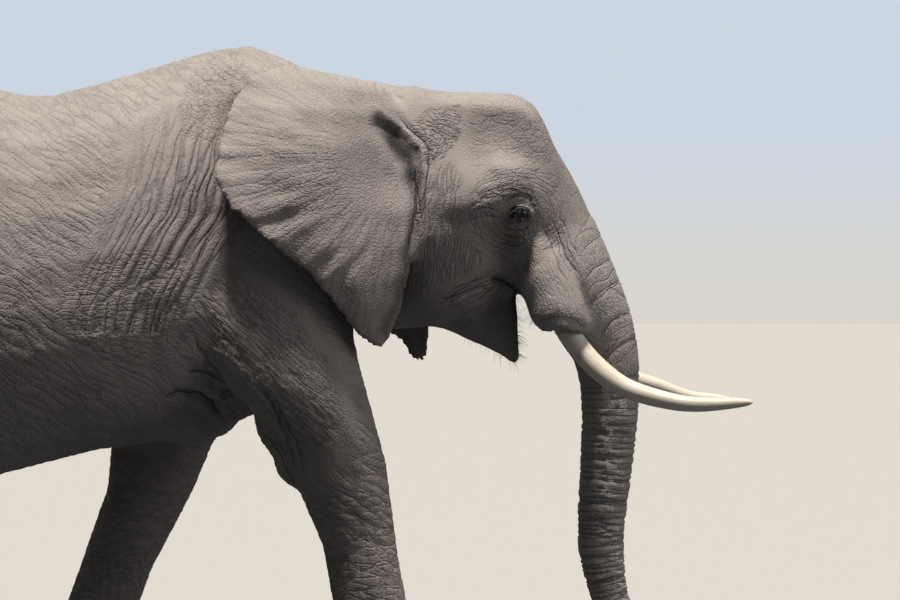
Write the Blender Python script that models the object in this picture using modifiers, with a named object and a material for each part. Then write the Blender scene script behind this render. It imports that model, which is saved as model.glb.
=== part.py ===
"""African bush elephant cow, life size, walking.

Metres, +Z up.  The animal faces +X and its left side is +Y.  The flesh is modelled whole from lofts
and rounded forms, fused into one skin by a voxel remesh, and then parted by thin cuts into the lengths
that a person would name.  Heights are above the floor.  Lengths along X are from the withers while the
animal is modelled; at the end everything is moved so that the origin lies under the middle of the box.
"""

import math

import bmesh
import bpy
import numpy as np
from mathutils import Matrix, Vector

# ---------------------------------------------------------------- driving dimensions (metres)
GAP = 0.0003                # what touching pieces keep between them
VOXEL = 0.015               # cell of the remesh that fuses the flesh
BODY_TRIANGLES = 2650       # what the fused flesh is thinned to before it is cut
RING_SIDES = 28             # points round a loft's section
CUT_REACH = 3.0             # half-size of a cutter along its plane
ROOF = 1.9                  # roundness of the back's section: under 2 is roofed
KEEL = 2.3                  # roundness of the belly's section: over 2 is full
LIMB_ROUND = 2.15           # roundness of a leg's section

EYE_RADIUS = 0.0195
EYE_AT = (0.902, 0.243, 1.969)
NAIL_HEIGHT = 0.068
NAIL_WIDTH = 0.080
NOSTRIL_RADIUS = 0.0125
HEAD_CUT = 0.520            # how far ahead of the withers the head begins
NECK_CUT = 0.215            # and the neck
CROWN_WIDTH = 0.45          # where the skull's section leaves its flat crown, as a share of the edge's width
CROWN_DROP = 0.12           # how far it has fallen there, as a share of the edge's fall
CHIN_WIDTH = 0.5            # the same for the flat underneath

# The trunk (torso), front to back in slices across the body:
# x, back, belly, half width, height of the widest place
TORSO = (
    (0.36, 2.330, 1.640, 0.270, 1.93),
    (0.22, 2.420, 1.480, 0.355, 1.90),
    (0.03, 2.512, 1.385, 0.430, 1.83),
    (-0.11, 2.492, 1.285, 0.478, 1.78),
    (-0.29, 2.439, 1.228, 0.530, 1.72),
    (-0.45, 2.392, 1.208, 0.566, 1.68),
    (-0.64, 2.348, 1.160, 0.588, 1.65),
    (-0.82, 2.384, 1.118, 0.590, 1.63),
    (-1.02, 2.428, 1.100, 0.575, 1.65),
    (-1.22, 2.464, 1.105, 0.548, 1.70),
    (-1.42, 2.466, 1.140, 0.515, 1.74),
    (-1.62, 2.408, 1.215, 0.475, 1.76),
    (-1.79, 2.285, 1.330, 0.410, 1.77),
    (-1.92, 2.120, 1.470, 0.305, 1.78),
    (-1.99, 1.960, 1.620, 0.150, 1.79),
)

# The neck in the same slices
NECK = (
    (-0.10, 2.400, 1.480, 0.360, 1.94),
    (0.06, 2.440, 1.450, 0.365, 1.94),
    (0.20, 2.436, 1.500, 0.345, 1.94),
    (0.35, 2.416, 1.600, 0.300, 1.94),
    (0.50, 2.388, 1.640, 0.262, 1.95),
    (0.62, 2.357, 1.650, 0.258, 1.96),
    (0.72, 2.310, 1.680, 0.240, 1.97),
)

# The skull and cheeks, slices across the head from nape to face:
# x, then half width and height at the crown's edge, temple, cheekbone, cheek and jowl,
# with the heights of the middle line above and below
SKULL = (
    (0.46, 2.375, (0.12, 2.345), (0.185, 2.200), (0.240, 2.000), (0.258, 1.830), (0.17, 1.680), 1.640),
    (0.60, 2.364, (0.155, 2.332), (0.232, 2.195), (0.302, 2.000), (0.296, 1.820), (0.19, 1.665), 1.615),
    (0.72, 2.360, (0.170, 2.322), (0.218, 2.195), (0.300, 2.005), (0.268, 1.820), (0.16, 1.675), 1.625),
    (0.82, 2.356, (0.172, 2.310), (0.200, 2.185), (0.280, 2.020), (0.205, 1.800), (0.12, 1.690), 1.665),
    (0.90, 2.345, (0.163, 2.300), (0.190, 2.170), (0.246, 2.030), (0.186, 1.820), (0.12, 1.725), 1.705),
    (0.97, 2.274, (0.140, 2.238), (0.172, 2.130), (0.205, 2.010), (0.175, 1.820), (0.12, 1.740), 1.720),
    (1.03, 2.150, (0.105, 2.120), (0.140, 2.060), (0.165, 1.970), (0.155, 1.830), (0.10, 1.760), 1.745),
)

# The lower jaw and its lip, slices from throat to chin: x, top, underside, half width, widest height
JAW = (
    (0.42, 1.840, 1.585, 0.170, 1.73),
    (0.54, 1.850, 1.600, 0.186, 1.72),
    (0.64, 1.830, 1.603, 0.172, 1.71),
    (0.72, 1.790, 1.576, 0.142, 1.69),
    (0.79, 1.752, 1.548, 0.108, 1.65),
    (0.845, 1.726, 1.516, 0.078, 1.61),
    (0.878, 1.708, 1.488, 0.060, 1.57),
    (0.897, 1.665, 1.497, 0.034, 1.56),
)

# The trunk (proboscis), brow to tip: front x and z, rear x and z, half width
TRUNK = (
    (0.892, 2.332, 0.700, 2.030, 0.150),
    (0.972, 2.255, 0.760, 1.935, 0.166),
    (1.036, 2.150, 0.815, 1.860, 0.172),
    (1.090, 2.056, 0.868, 1.795, 0.172),
    (1.163, 1.890, 0.930, 1.705, 0.166),
    (1.220, 1.752, 0.990, 1.622, 0.150),
    (1.258, 1.640, 1.056, 1.545, 0.130),
    (1.280, 1.520, 1.094, 1.455, 0.113),
    (1.283, 1.368, 1.106, 1.340, 0.099),
    (1.268, 1.200, 1.103, 1.188, 0.088),
    (1.246, 1.035, 1.095, 1.035, 0.080),
    (1.236, 0.915, 1.092, 0.925, 0.074),
    (1.243, 0.790, 1.112, 0.805, 0.067),
    (1.268, 0.668, 1.150, 0.682, 0.060),
    (1.312, 0.560, 1.206, 0.556, 0.054),
    (1.372, 0.482, 1.286, 0.446, 0.048),
    (1.446, 0.440, 1.385, 0.374, 0.043),
    (1.512, 0.432, 1.474, 0.352, 0.039),
)

# Legs, top to sole: height, front x, rear x, distance from the middle plane, half width
FORELEG_FORWARD = (
    (2.15, 0.220, -0.060, 0.200, 0.100),
    (1.95, 0.325, -0.130, 0.265, 0.150),
    (1.75, 0.362, -0.160, 0.292, 0.178),
    (1.594, 0.374, -0.140, 0.304, 0.186),
    (1.427, 0.410, -0.040, 0.306, 0.180),
    (1.327, 0.436, 0.068, 0.304, 0.166),
    (1.223, 0.465, 0.152, 0.300, 0.150),
    (1.105, 0.486, 0.194, 0.290, 0.136),
    (1.040, 0.492, 0.216, 0.285, 0.130),
    (0.945, 0.503, 0.258, 0.280, 0.123),
    (0.850, 0.517, 0.283, 0.275, 0.119),
    (0.720, 0.545, 0.305, 0.270, 0.120),
    (0.600, 0.570, 0.325, 0.265, 0.122),
    (0.450, 0.602, 0.362, 0.260, 0.120),
    (0.300, 0.664, 0.378, 0.255, 0.144),
    (0.180, 0.722, 0.380, 0.250, 0.172),
    (0.080, 0.760, 0.382, 0.250, 0.188),
    (-0.015, 0.765, 0.380, 0.250, 0.191),
)
FORELEG_BACK = (
    (2.15, 0.160, -0.120, 0.200, 0.100),
    (1.95, 0.250, -0.200, 0.265, 0.150),
    (1.75, 0.250, -0.250, 0.292, 0.178),
    (1.594, 0.180, -0.290, 0.304, 0.186),
    (1.427, 0.060, -0.360, 0.306, 0.180),
    (1.300, -0.040, -0.408, 0.304, 0.164),
    (1.213, -0.097, -0.430, 0.300, 0.150),
    (1.123, -0.135, -0.438, 0.292, 0.140),
    (1.050, -0.169, -0.453, 0.287, 0.132),
    (0.942, -0.226, -0.491, 0.280, 0.125),
    (0.823, -0.287, -0.532, 0.274, 0.120),
    (0.742, -0.319, -0.561, 0.270, 0.120),
    (0.600, -0.374, -0.615, 0.265, 0.122),
    (0.450, -0.425, -0.665, 0.260, 0.120),
    (0.300, -0.440, -0.728, 0.255, 0.144),
    (0.180, -0.442, -0.784, 0.250, 0.172),
    (0.080, -0.446, -0.824, 0.250, 0.188),
    (-0.015, -0.442, -0.826, 0.250, 0.191),
)
HINDLEG_FORWARD = (
    (2.10, -1.250, -1.700, 0.200, 0.140),
    (1.90, -1.110, -1.830, 0.262, 0.180),
    (1.70, -1.020, -1.885, 0.292, 0.200),
    (1.50, -0.975, -1.840, 0.300, 0.202),
    (1.30, -0.962, -1.705, 0.298, 0.186),
    (1.15, -0.968, -1.560, 0.292, 0.166),
    (1.00, -0.988, -1.455, 0.285, 0.150),
    (0.85, -1.022, -1.398, 0.278, 0.136),
    (0.70, -1.060, -1.375, 0.270, 0.123),
    (0.55, -1.084, -1.362, 0.260, 0.116),
    (0.40, -1.076, -1.352, 0.250, 0.116),
    (0.28, -1.042, -1.346, 0.245, 0.123),
    (0.16, -0.992, -1.340, 0.240, 0.137),
    (0.07, -0.966, -1.335, 0.240, 0.147),
    (-0.015, -0.964, -1.332, 0.240, 0.149),
)
HINDLEG_BACK = (
    (2.10, -1.280, -1.720, 0.200, 0.140),
    (1.90, -1.170, -1.850, 0.262, 0.180),
    (1.70, -1.120, -1.925, 0.292, 0.200),
    (1.50, -1.130, -1.930, 0.300, 0.202),
    (1.30, -1.185, -1.880, 0.298, 0.186),
    (1.15, -1.258, -1.822, 0.292, 0.166),
    (1.00, -1.350, -1.795, 0.285, 0.150),
    (0.85, -1.452, -1.812, 0.278, 0.136),
    (0.70, -1.555, -1.860, 0.270, 0.123),
    (0.55, -1.642, -1.915, 0.260, 0.116),
    (0.40, -1.700, -1.966, 0.250, 0.116),
    (0.28, -1.712, -2.004, 0.245, 0.123),
    (0.16, -1.700, -2.044, 0.240, 0.137),
    (0.07, -1.690, -2.062, 0.240, 0.147),
    (-0.015, -1.688, -2.060, 0.240, 0.149),
)

# The tail: x, z, radius
TAIL = (
    (-1.860, 2.130, 0.085),
    (-1.950, 2.060, 0.066),
    (-2.012, 1.950, 0.047),
    (-2.048, 1.780, 0.034),
    (-2.064, 1.560, 0.027),
    (-2.070, 1.320, 0.022),
    (-2.074, 1.120, 0.018),
    (-2.080, 0.960, 0.016),
)
TUFT = (
    (-2.080, 0.960, 0.016),
    (-2.083, 0.900, 0.026),
    (-2.090, 0.800, 0.036),
    (-2.098, 0.690, 0.030),
    (-2.104, 0.600, 0.010),
)

# The tusk: x, distance from the middle plane, z, radius
TUSK = (
    (1.008, 0.172, 1.668, 0.0350),
    (1.063, 0.186, 1.578, 0.0345),
    (1.113, 0.198, 1.511, 0.0352),
    (1.169, 0.212, 1.458, 0.0345),
    (1.231, 0.226, 1.416, 0.0320),
    (1.305, 0.243, 1.389, 0.0296),
    (1.386, 0.260, 1.370, 0.0268),
    (1.445, 0.272, 1.363, 0.0245),
    (1.504, 0.283, 1.362, 0.0218),
    (1.577, 0.294, 1.366, 0.0172),
    (1.624, 0.300, 1.369, 0.0105),
    (1.639, 0.302, 1.370, 0.0030),
)

# The ear in rows from its upper edge to its tip: front x and z, rear x and z, then the distance from
# the middle plane at the root, in the hollow behind it, over the belly of the blade and at the rim
EAR = (
    (0.445, 2.385, 0.150, 2.442, 0.100, 0.122, 0.150, 0.175),
    (0.480, 2.350, 0.035, 2.397, 0.140, 0.172, 0.250, 0.268),
    (0.535, 2.280, -0.020, 2.300, 0.165, 0.196, 0.345, 0.375),
    (0.576, 2.170, -0.052, 2.185, 0.190, 0.218, 0.418, 0.462),
    (0.596, 2.060, -0.062, 2.085, 0.225, 0.256, 0.454, 0.522),
    (0.594, 1.965, -0.014, 1.992, 0.258, 0.312, 0.466, 0.552),
    (0.566, 1.860, 0.105, 1.885, 0.292, 0.358, 0.468, 0.552),
    (0.540, 1.760, 0.232, 1.785, 0.315, 0.376, 0.456, 0.522),
    (0.516, 1.665, 0.325, 1.672, 0.325, 0.374, 0.432, 0.482),
    (0.488, 1.592, 0.385, 1.592, 0.335, 0.364, 0.404, 0.436),
    (0.456, 1.546, 0.436, 1.546, 0.352, 0.366, 0.380, 0.388),
)
EAR_KNOTS = (0.0, 0.15, 0.45, 1.0)        # where across the blade those four distances hold
EAR_COLUMNS = 10
EAR_ROOT_THICKNESS = 0.030
EAR_RIM_THICKNESS = 0.010
LEFT_EAR_SWING = (0.130, -0.060, 0.030)   # how far the left ear's tip hangs forward, down and out

EAR_RIPPLE = 0.007
EAR_RIPPLES = 5
LEG_INNER = 0.155           # from the middle plane to the inner cut of a shoulder or thigh
FACE_SOFTENING = 5
BODY_SOFTENING = 30
HEAD_KEEPS = 0.30
TRUNK_KEEPS = 0.22
TUSK_SIDES = 12
LEFT_TUSK_SHARE = 0.945      # the left tusk's length for the right one's
LEFT_TUSK_DROP = 0.016       # how much lower its tip hangs
LEFT_TUSK_LIFT = 0.034       # how much higher it stands halfway
LEFT_TUSK_PEAK = 0.48        # where it stands highest, as a share of its length
LEFT_TUSK_REACH = 0.20       # how quickly that falls away, the same way
NAIL_MIDDLE = 0.043
NAIL_DEPTH = 0.018
NAIL_SINK = 0.009
NAIL_LEAN = -12.0           # degrees that a nail's face leans back
PLATE_CORNER = 0.62         # share of a nail's half size that its corners round off
FORE_BEARINGS = (-57, -20, 18, 54)
HIND_BEARINGS = (-40, 0, 40)
NOSTRIL_APART = 0.017
NOSTRIL_FROM = (1.440, 0.402)
NOSTRIL_TO = (1.540, 0.390)

# Cuts across the proboscis: front x and z, rear x and z, from the tip upwards
TRUNK_CUTS = (
    (1.268, 0.668, 1.150, 0.682),
    (1.248, 1.060, 1.095, 1.052),
    (1.281, 1.480, 1.098, 1.430),
    (1.135, 1.960, 0.900, 1.745),
)
TRUNK_NAMES = ("trunk_tip", "trunk_lower", "trunk_upper", "trunk_base")

SKIN = ("elephant_skin", (0.235, 0.200, 0.172), 0.82)
IVORY = ("ivory", (0.760, 0.640, 0.460), 0.42)
NAIL = ("toenail", (0.330, 0.270, 0.205), 0.60)
EYE = ("eye", (0.030, 0.018, 0.012), 0.08)
HAIR = ("tail_hair", (0.020, 0.017, 0.015), 0.70)


# ---------------------------------------------------------------- small tools
def clear_scene():
    for thing in list(bpy.data.objects):
        bpy.data.objects.remove(thing, do_unlink=True)


def new_collection(name):
    group = bpy.data.collections.new(name)
    bpy.context.scene.collection.children.link(group)
    return group


def material(recipe):
    name, colour, roughness = recipe
    made = bpy.data.materials.get(name)
    if made is None:
        made = bpy.data.materials.new(name)
        made.use_nodes = True
        shader = made.node_tree.nodes["Principled BSDF"]
        shader.inputs["Base Color"].default_value = (*colour, 1.0)
        shader.inputs["Roughness"].default_value = roughness
        shader.inputs["Metallic"].default_value = 0.0
    return made


def add_object(name, mesh, group):
    thing = bpy.data.objects.new(name, mesh)
    group.objects.link(thing)
    return thing


def flowing(stations, steps):
    """The stations with a smooth curve read between them, steps to a span."""
    table = np.array(stations, dtype=float)
    padded = np.vstack((2 * table[0] - table[1], table, 2 * table[-1] - table[-2]))
    rows = []
    for i in range(1, len(padded) - 2):
        before, here, there, after = padded[i - 1:i + 3]
        for k in range(steps):
            t = k / steps
            rows.append(0.5 * (2 * here + (there - before) * t
                               + (2 * before - 5 * here + 4 * there - after) * t ** 2
                               + (3 * here - before - 3 * there + after) * t ** 3))
    rows.append(padded[-2])
    return [row.tolist() for row in rows]


def loft(name, rings, group):
    """A closed skin over the rings, each a list of points in the same order."""
    shape = bmesh.new()
    loops = [[shape.verts.new(point) for point in ring] for ring in rings]
    count = len(loops[0])
    for upper, lower in zip(loops, loops[1:]):
        for i in range(count):
            j = (i + 1) % count
            shape.faces.new((upper[i], upper[j], lower[j], lower[i]))
    shape.faces.new(loops[0])
    shape.faces.new(loops[-1])
    bmesh.ops.recalc_face_normals(shape, faces=shape.faces)
    mesh = bpy.data.meshes.new(name)
    shape.to_mesh(mesh)
    shape.free()
    return add_object(name, mesh, group)


def eased(at, knots, values):
    """The value at a place between knots, along a smooth curve through all of them."""
    slopes = np.gradient(values, knots)
    i = min(max(int(np.searchsorted(knots, at)) - 1, 0), len(knots) - 2)
    span = knots[i + 1] - knots[i]
    t = (at - knots[i]) / span
    return float((1 + 2 * t) * (1 - t) ** 2 * values[i] + t ** 2 * (3 - 2 * t) * values[i + 1]
                 + span * (t * (1 - t) ** 2 * slopes[i] - t ** 2 * (1 - t) * slopes[i + 1]))


def round_power(value, power):
    return math.copysign(abs(value) ** power, value)


def angles(count):
    return [2 * math.pi * i / count for i in range(count)]


def slice_across(x, top, bottom, half_width, widest):
    """A section across the body: roofed above its widest place, full below it."""
    ring = []
    for angle in angles(RING_SIDES):
        round_by = ROOF if math.sin(angle) > 0 else KEEL
        reach = top - widest if math.sin(angle) > 0 else widest - bottom
        ring.append((x, half_width * round_power(math.cos(angle), 2 / round_by),
                     widest + reach * round_power(math.sin(angle), 2 / round_by)))
    return ring


def body_loft(name, stations, steps, group):
    return loft(name, [slice_across(*row) for row in flowing(stations, steps)], group)


def leg_loft(name, stations, side, steps, group):
    """A leg as level sections; side is -1 for the right leg and 1 for the left."""
    rings = []
    for height, front, rear, apart, half_width in flowing(stations, steps):
        middle = (front + rear) / 2
        reach = (front - rear) / 2
        rings.append([(middle + reach * round_power(math.cos(a), 2 / LIMB_ROUND),
                       side * apart + half_width * round_power(math.sin(a), 2 / LIMB_ROUND), height)
                      for a in angles(RING_SIDES)])
    return loft(name, rings, group)


def tube_loft(name, points, radii, sides, group):
    """A round tube through the points; its sections stand square to the path."""
    path = [Vector(point) for point in points]
    rings = []
    for i, point in enumerate(path):
        along = (path[min(i + 1, len(path) - 1)] - path[max(i - 1, 0)]).normalized()
        across = along.cross(Vector((0, 1, 0))).normalized()
        other = along.cross(across).normalized()
        rings.append([point + radii[i] * (math.cos(a) * across + math.sin(a) * other)
                      for a in angles(sides)])
    return loft(name, rings, group)


def ball(name, centre, radii, group, turn=(0.0, 0.0, 0.0), segments=24, rings=16):
    """An ellipsoid, turned about X, Y and Z by degrees."""
    shape = bmesh.new()
    bmesh.ops.create_uvsphere(shape, u_segments=segments, v_segments=rings, radius=1.0)
    mesh = bpy.data.meshes.new(name)
    shape.to_mesh(mesh)
    shape.free()
    mesh.transform(Matrix.Translation(centre) @ turned(turn) @ Matrix.Diagonal((*radii, 1.0)))
    return add_object(name, mesh, group)


def turned(turn):
    """A rotation about X, then Y, then Z, by degrees."""
    made = Matrix.Identity(4)
    for angle, axis in zip(turn, "XYZ"):
        made = Matrix.Rotation(math.radians(angle), 4, axis) @ made
    return made


def plate(name, centre, radii, group, turn):
    """A thick nail: a block with its edges cut off, turned like a ball."""
    shape = bmesh.new()
    bmesh.ops.create_cube(shape, size=2.0)
    bmesh.ops.bevel(shape, geom=shape.edges, offset=PLATE_CORNER, segments=1, affect="EDGES")
    mesh = bpy.data.meshes.new(name)
    shape.to_mesh(mesh)
    shape.free()
    mesh.transform(Matrix.Translation(centre) @ turned(turn) @ Matrix.Diagonal((*radii, 1.0)))
    return add_object(name, mesh, group)


def box_mesh(name, lowest, highest, group):
    shape = bmesh.new()
    bmesh.ops.create_cube(shape, size=1.0)
    mesh = bpy.data.meshes.new(name)
    shape.to_mesh(mesh)
    shape.free()
    low, high = Vector(lowest), Vector(highest)
    size = high - low
    mesh.transform(Matrix.Translation((low + high) / 2) @ Matrix.Diagonal((*size, 1.0)))
    return add_object(name, mesh, group)


def evaluated_copy(thing, name, group):
    """A plain mesh object of what the modifiers make, with its place in the mesh."""
    depsgraph = bpy.context.evaluated_depsgraph_get()
    mesh = bpy.data.meshes.new_from_object(thing.evaluated_get(depsgraph))
    mesh.transform(thing.matrix_world)
    return add_object(name, mesh, group)


def remove(thing):
    bpy.data.objects.remove(thing, do_unlink=True)


def boolean(thing, cutter, operation, group):
    """The thing cut, or kept, by the cutter as a new plain object of the same name."""
    modifier = thing.modifiers.new("cut", "BOOLEAN")
    modifier.operation = operation
    modifier.solver = "EXACT"
    modifier.object = cutter
    name = thing.name
    thing.name = name + "_before"
    made = evaluated_copy(thing, name, group)
    remove(thing)
    return made


def show_as_cutter(thing):
    thing.hide_render = True
    thing.display_type = "WIRE"


def grown(thing, distance, group):
    """A copy of a closed shape with its surface pushed out by the distance."""
    mesh = thing.data.copy()
    shape = bmesh.new()
    shape.from_mesh(mesh)
    bmesh.ops.remove_doubles(shape, verts=shape.verts, dist=0.00001)
    shape.normal_update()
    for vert in shape.verts:
        vert.co += vert.normal * distance * 1.2
    shape.to_mesh(mesh)
    shape.free()
    made = add_object(thing.name + "_room", mesh, group)
    show_as_cutter(made)
    return made


def tidy(thing):
    """Welds what a cut leaves double, and drops slivers and loose bits."""
    shape = bmesh.new()
    shape.from_mesh(thing.data)
    bmesh.ops.remove_doubles(shape, verts=shape.verts, dist=0.00002)
    bmesh.ops.dissolve_degenerate(shape, edges=shape.edges, dist=0.00002)
    bmesh.ops.triangulate(shape, faces=shape.faces)
    shape.to_mesh(thing.data)
    shape.free()


# ---------------------------------------------------------------- the flesh, made whole
def skull_ring(row):
    """One closed section of the skull, a smooth curve through a station's points, mirrored."""
    x, crown, foot = row[0], row[1], row[7]
    flank = row[2:7]
    shoulder = (CROWN_WIDTH * flank[0][0], crown - CROWN_DROP * (crown - flank[0][1]))
    half = [shoulder, *flank, (CHIN_WIDTH * flank[-1][0], foot)]
    mirrored = [(-y, z) for y, z in reversed(half)]
    closed = np.array([*half, (0.0, foot), *mirrored, (0.0, crown)])
    ring = []
    for i in range(len(closed)):
        before, here, there, after = (closed[(i + k) % len(closed)] for k in (-1, 0, 1, 2))
        for t in (0.0, 0.5):
            bend = 2 * before - 5 * here + 4 * there - after
            turn = 3 * here - before - 3 * there + after
            y, z = 0.5 * (2 * here + (there - before) * t + bend * t ** 2 + turn * t ** 3)
            ring.append((x, y, z))
    return ring


def skull(group):
    flat = [(row[0], row[1], *row[2], *row[3], *row[4], *row[5], *row[6], row[7]) for row in SKULL]
    rings = []
    for r in flowing(flat, 3):
        rings.append(skull_ring((r[0], r[1], (r[2], r[3]), (r[4], r[5]), (r[6], r[7]),
                                 (r[8], r[9]), (r[10], r[11]), r[12])))
    return loft("skull", rings, group)


def trunk_length(name, stations, steps, group):
    """The proboscis: oval sections between its front and rear lines."""
    rings = []
    for front_x, front_z, rear_x, rear_z, half_width in flowing(stations, steps):
        front, rear = Vector((front_x, 0, front_z)), Vector((rear_x, 0, rear_z))
        middle, reach = (front + rear) / 2, (front - rear) / 2
        rings.append([middle + reach * round_power(math.cos(a), 0.94)
                      + Vector((0, half_width * round_power(math.sin(a), 0.94), 0))
                      for a in angles(RING_SIDES)])
    return loft(name, rings, group)


def both_sides(group, name, centre, radii, turn=(0.0, 0.0, 0.0)):
    """An ellipsoid on each side of the middle plane; centre and turn are the left one's."""
    made = []
    for side in (-1, 1):
        made.append(ball(f"{name}_{side}", (centre[0], side * centre[1], centre[2]), radii, group,
                         (side * turn[0], turn[1], side * turn[2])))
    return made


def flesh_forms(group):
    forms = [
        body_loft("torso_form", TORSO, 3, group),
        body_loft("neck_form", NECK, 3, group),
        body_loft("jaw_form", JAW, 3, group),
        skull(group),
        trunk_length("trunk_form", TRUNK, 4, group),
        leg_loft("foreleg_right_form", FORELEG_FORWARD, -1, 3, group),
        leg_loft("foreleg_left_form", FORELEG_BACK, 1, 3, group),
        leg_loft("hindleg_right_form", HINDLEG_FORWARD, -1, 3, group),
        leg_loft("hindleg_left_form", HINDLEG_BACK, 1, 3, group),
    ]
    forms += both_sides(group, "hip", (-1.36, 0.285, 2.22), (0.20, 0.11, 0.20), (20, 0, 0))
    forms += both_sides(group, "shoulder_blade", (0.03, 0.240, 2.12), (0.15, 0.11, 0.30), (18, -14, 0))
    forms += both_sides(group, "brow", (0.860, 0.185, 2.075), (0.105, 0.075, 0.075), (0, 12, -22))
    forms += both_sides(group, "cheekbone", (0.700, 0.215, 1.985), (0.19, 0.095, 0.085), (0, -4, -6))
    forms += both_sides(group, "eye_mound", (0.898, 0.205, 1.968), (0.066, 0.044, 0.052), (0, 0, -14))
    forms += both_sides(group, "jowl", (0.640, 0.130, 1.770), (0.20, 0.10, 0.135), (0, 14, 0))
    forms += both_sides(group, "lip_corner", (0.905, 0.135, 1.760), (0.085, 0.060, 0.075), (0, 30, 0))
    for side in (-1, 1):
        forms.append(tube_loft(
            f"sheath_{side}",
            [(0.885, side * 0.150, 1.900), (0.955, side * 0.160, 1.790), (1.005, side * 0.172, 1.700),
             (1.040, side * 0.181, 1.635), (1.062, side * 0.186, 1.592)],
            [0.085, 0.086, 0.083, 0.074, 0.060], 20, group))
    forms.append(ball("breast", (-0.10, 0.0, 1.420), (0.30, 0.24, 0.18), group))
    forms.append(ball("tail_head", (-1.86, 0.0, 2.090), (0.13, 0.12, 0.13), group))
    forms += both_sides(group, "teat_mound", (-0.165, 0.155, 1.310), (0.135, 0.110, 0.088), (0, 6, 0))
    forms.append(ball("elbow_flap", (0.135, -0.275, 1.215), (0.085, 0.060, 0.135), group, (0, -28, 0)))
    return forms


def joined(things, name, group):
    """One object whose mesh holds all the things' meshes."""
    shape = bmesh.new()
    for thing in things:
        shape.from_mesh(thing.data)
        remove(thing)
    mesh = bpy.data.meshes.new(name)
    shape.to_mesh(mesh)
    shape.free()
    return add_object(name, mesh, group)


def weigh(thing, name, weight_at):
    """A vertex group whose weights a function of the place gives."""
    weights = thing.vertex_groups.new(name=name)
    for vert in thing.data.vertices:
        weights.add([vert.index], weight_at(vert.co), "REPLACE")


def ramp(value, low, high):
    return min(1.0, max(0.0, (value - low) / (high - low)))


def trunk_of_body(place):
    """1 over the barrel, shoulders and thighs, 0 on the face and the lower legs."""
    return ramp(place.z, 0.95, 1.25) * ramp(place.x, 0.62, 0.42)


def kept_share(place):
    """How freely the flesh is thinned: the face keeps most, then the proboscis, then the rest."""
    keeps = HEAD_KEEPS if place.z > 1.45 else TRUNK_KEEPS if place.x > 0.9 else 0.0
    return 1.0 - ramp(place.x, 0.55, 0.80) * keeps


def fused_flesh(group):
    whole = joined(flesh_forms(group), "flesh", group)
    remesh = whole.modifiers.new("fuse", "REMESH")
    remesh.mode = "VOXEL"
    remesh.voxel_size = VOXEL
    fused = evaluated_copy(whole, "flesh_fused", group)
    remove(whole)

    # junctions melt together over the barrel, and stay crisp on the face and feet
    weigh(fused, "melt", trunk_of_body)
    for name, iterations, where in (("soften", FACE_SOFTENING, ""), ("melt", BODY_SOFTENING, "melt")):
        soften = fused.modifiers.new(name, "SMOOTH")
        soften.factor = 0.5
        soften.iterations = iterations
        soften.vertex_group = where
    fine = evaluated_copy(fused, "flesh_fine", group)
    remove(fused)

    # the face keeps more of its triangles than the flanks
    fine.vertex_groups.clear()
    weigh(fine, "thin_here", kept_share)
    thin = fine.modifiers.new("thin", "DECIMATE")
    thin.ratio = BODY_TRIANGLES / (2 * len(fine.data.polygons))
    thin.vertex_group = "thin_here"
    thin.vertex_group_factor = 0.5
    thin.use_collapse_triangulate = True
    made = evaluated_copy(fine, "flesh_whole", group)
    remove(fine)
    made.vertex_groups.clear()
    return made


# ---------------------------------------------------------------- thin cuts
class Region:
    """A box-shaped region of space, placed by a corner point and turned about Y."""

    def __init__(self, low, high, at=(0.0, 0.0, 0.0), pitch=0.0):
        self.low, self.high = Vector(low), Vector(high)
        self.place = Matrix.Translation(at) @ Matrix.Rotation(math.radians(pitch), 4, "Y")

    def cutter(self, name, margin, group):
        edge = Vector((margin, margin, margin))
        made = box_mesh(name, self.low - edge, self.high + edge, group)
        made.data.transform(self.place)
        show_as_cutter(made)
        return made


def part_off(flesh, name, region, group, cutters):
    """Cuts a named length off the flesh; both keep a thin gap between them."""
    inner = region.cutter(name + "_region", 0.0, cutters)
    outer = region.cutter(name + "_clear", GAP, cutters)
    piece = add_object(name, flesh.data.copy(), group)
    piece = boolean(piece, inner, "INTERSECT", group)
    flesh = boolean(flesh, outer, "DIFFERENCE", group)
    tidy(piece)
    tidy(flesh)
    return piece, flesh


def leg_regions(side, upper, knee, ankle, lower_x, upper_x):
    """The regions of a leg's foot, lower and upper length; side is -1 for the right."""
    inner, outer = sorted((side * LEG_INNER, side * 0.75))
    low_in, low_out = sorted((0.0, side * 0.75))
    return (
        ("foot", Region((lower_x[0], low_in, -0.10), (lower_x[1], low_out, ankle))),
        ("lower", Region((lower_x[0], low_in, ankle + GAP), (lower_x[1], low_out, knee))),
        ("upper", Region((upper_x[0], inner, knee + GAP), (upper_x[1], outer, upper))),
    )


def square_to(front_x, front_z, rear_x, rear_z):
    """The middle and the pitch of a cut through a front and a rear point of the proboscis."""
    pitch = math.degrees(math.atan2(front_z - rear_z, front_x - rear_x))
    return ((front_x + rear_x) / 2, 0.0, (front_z + rear_z) / 2), -pitch


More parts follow.
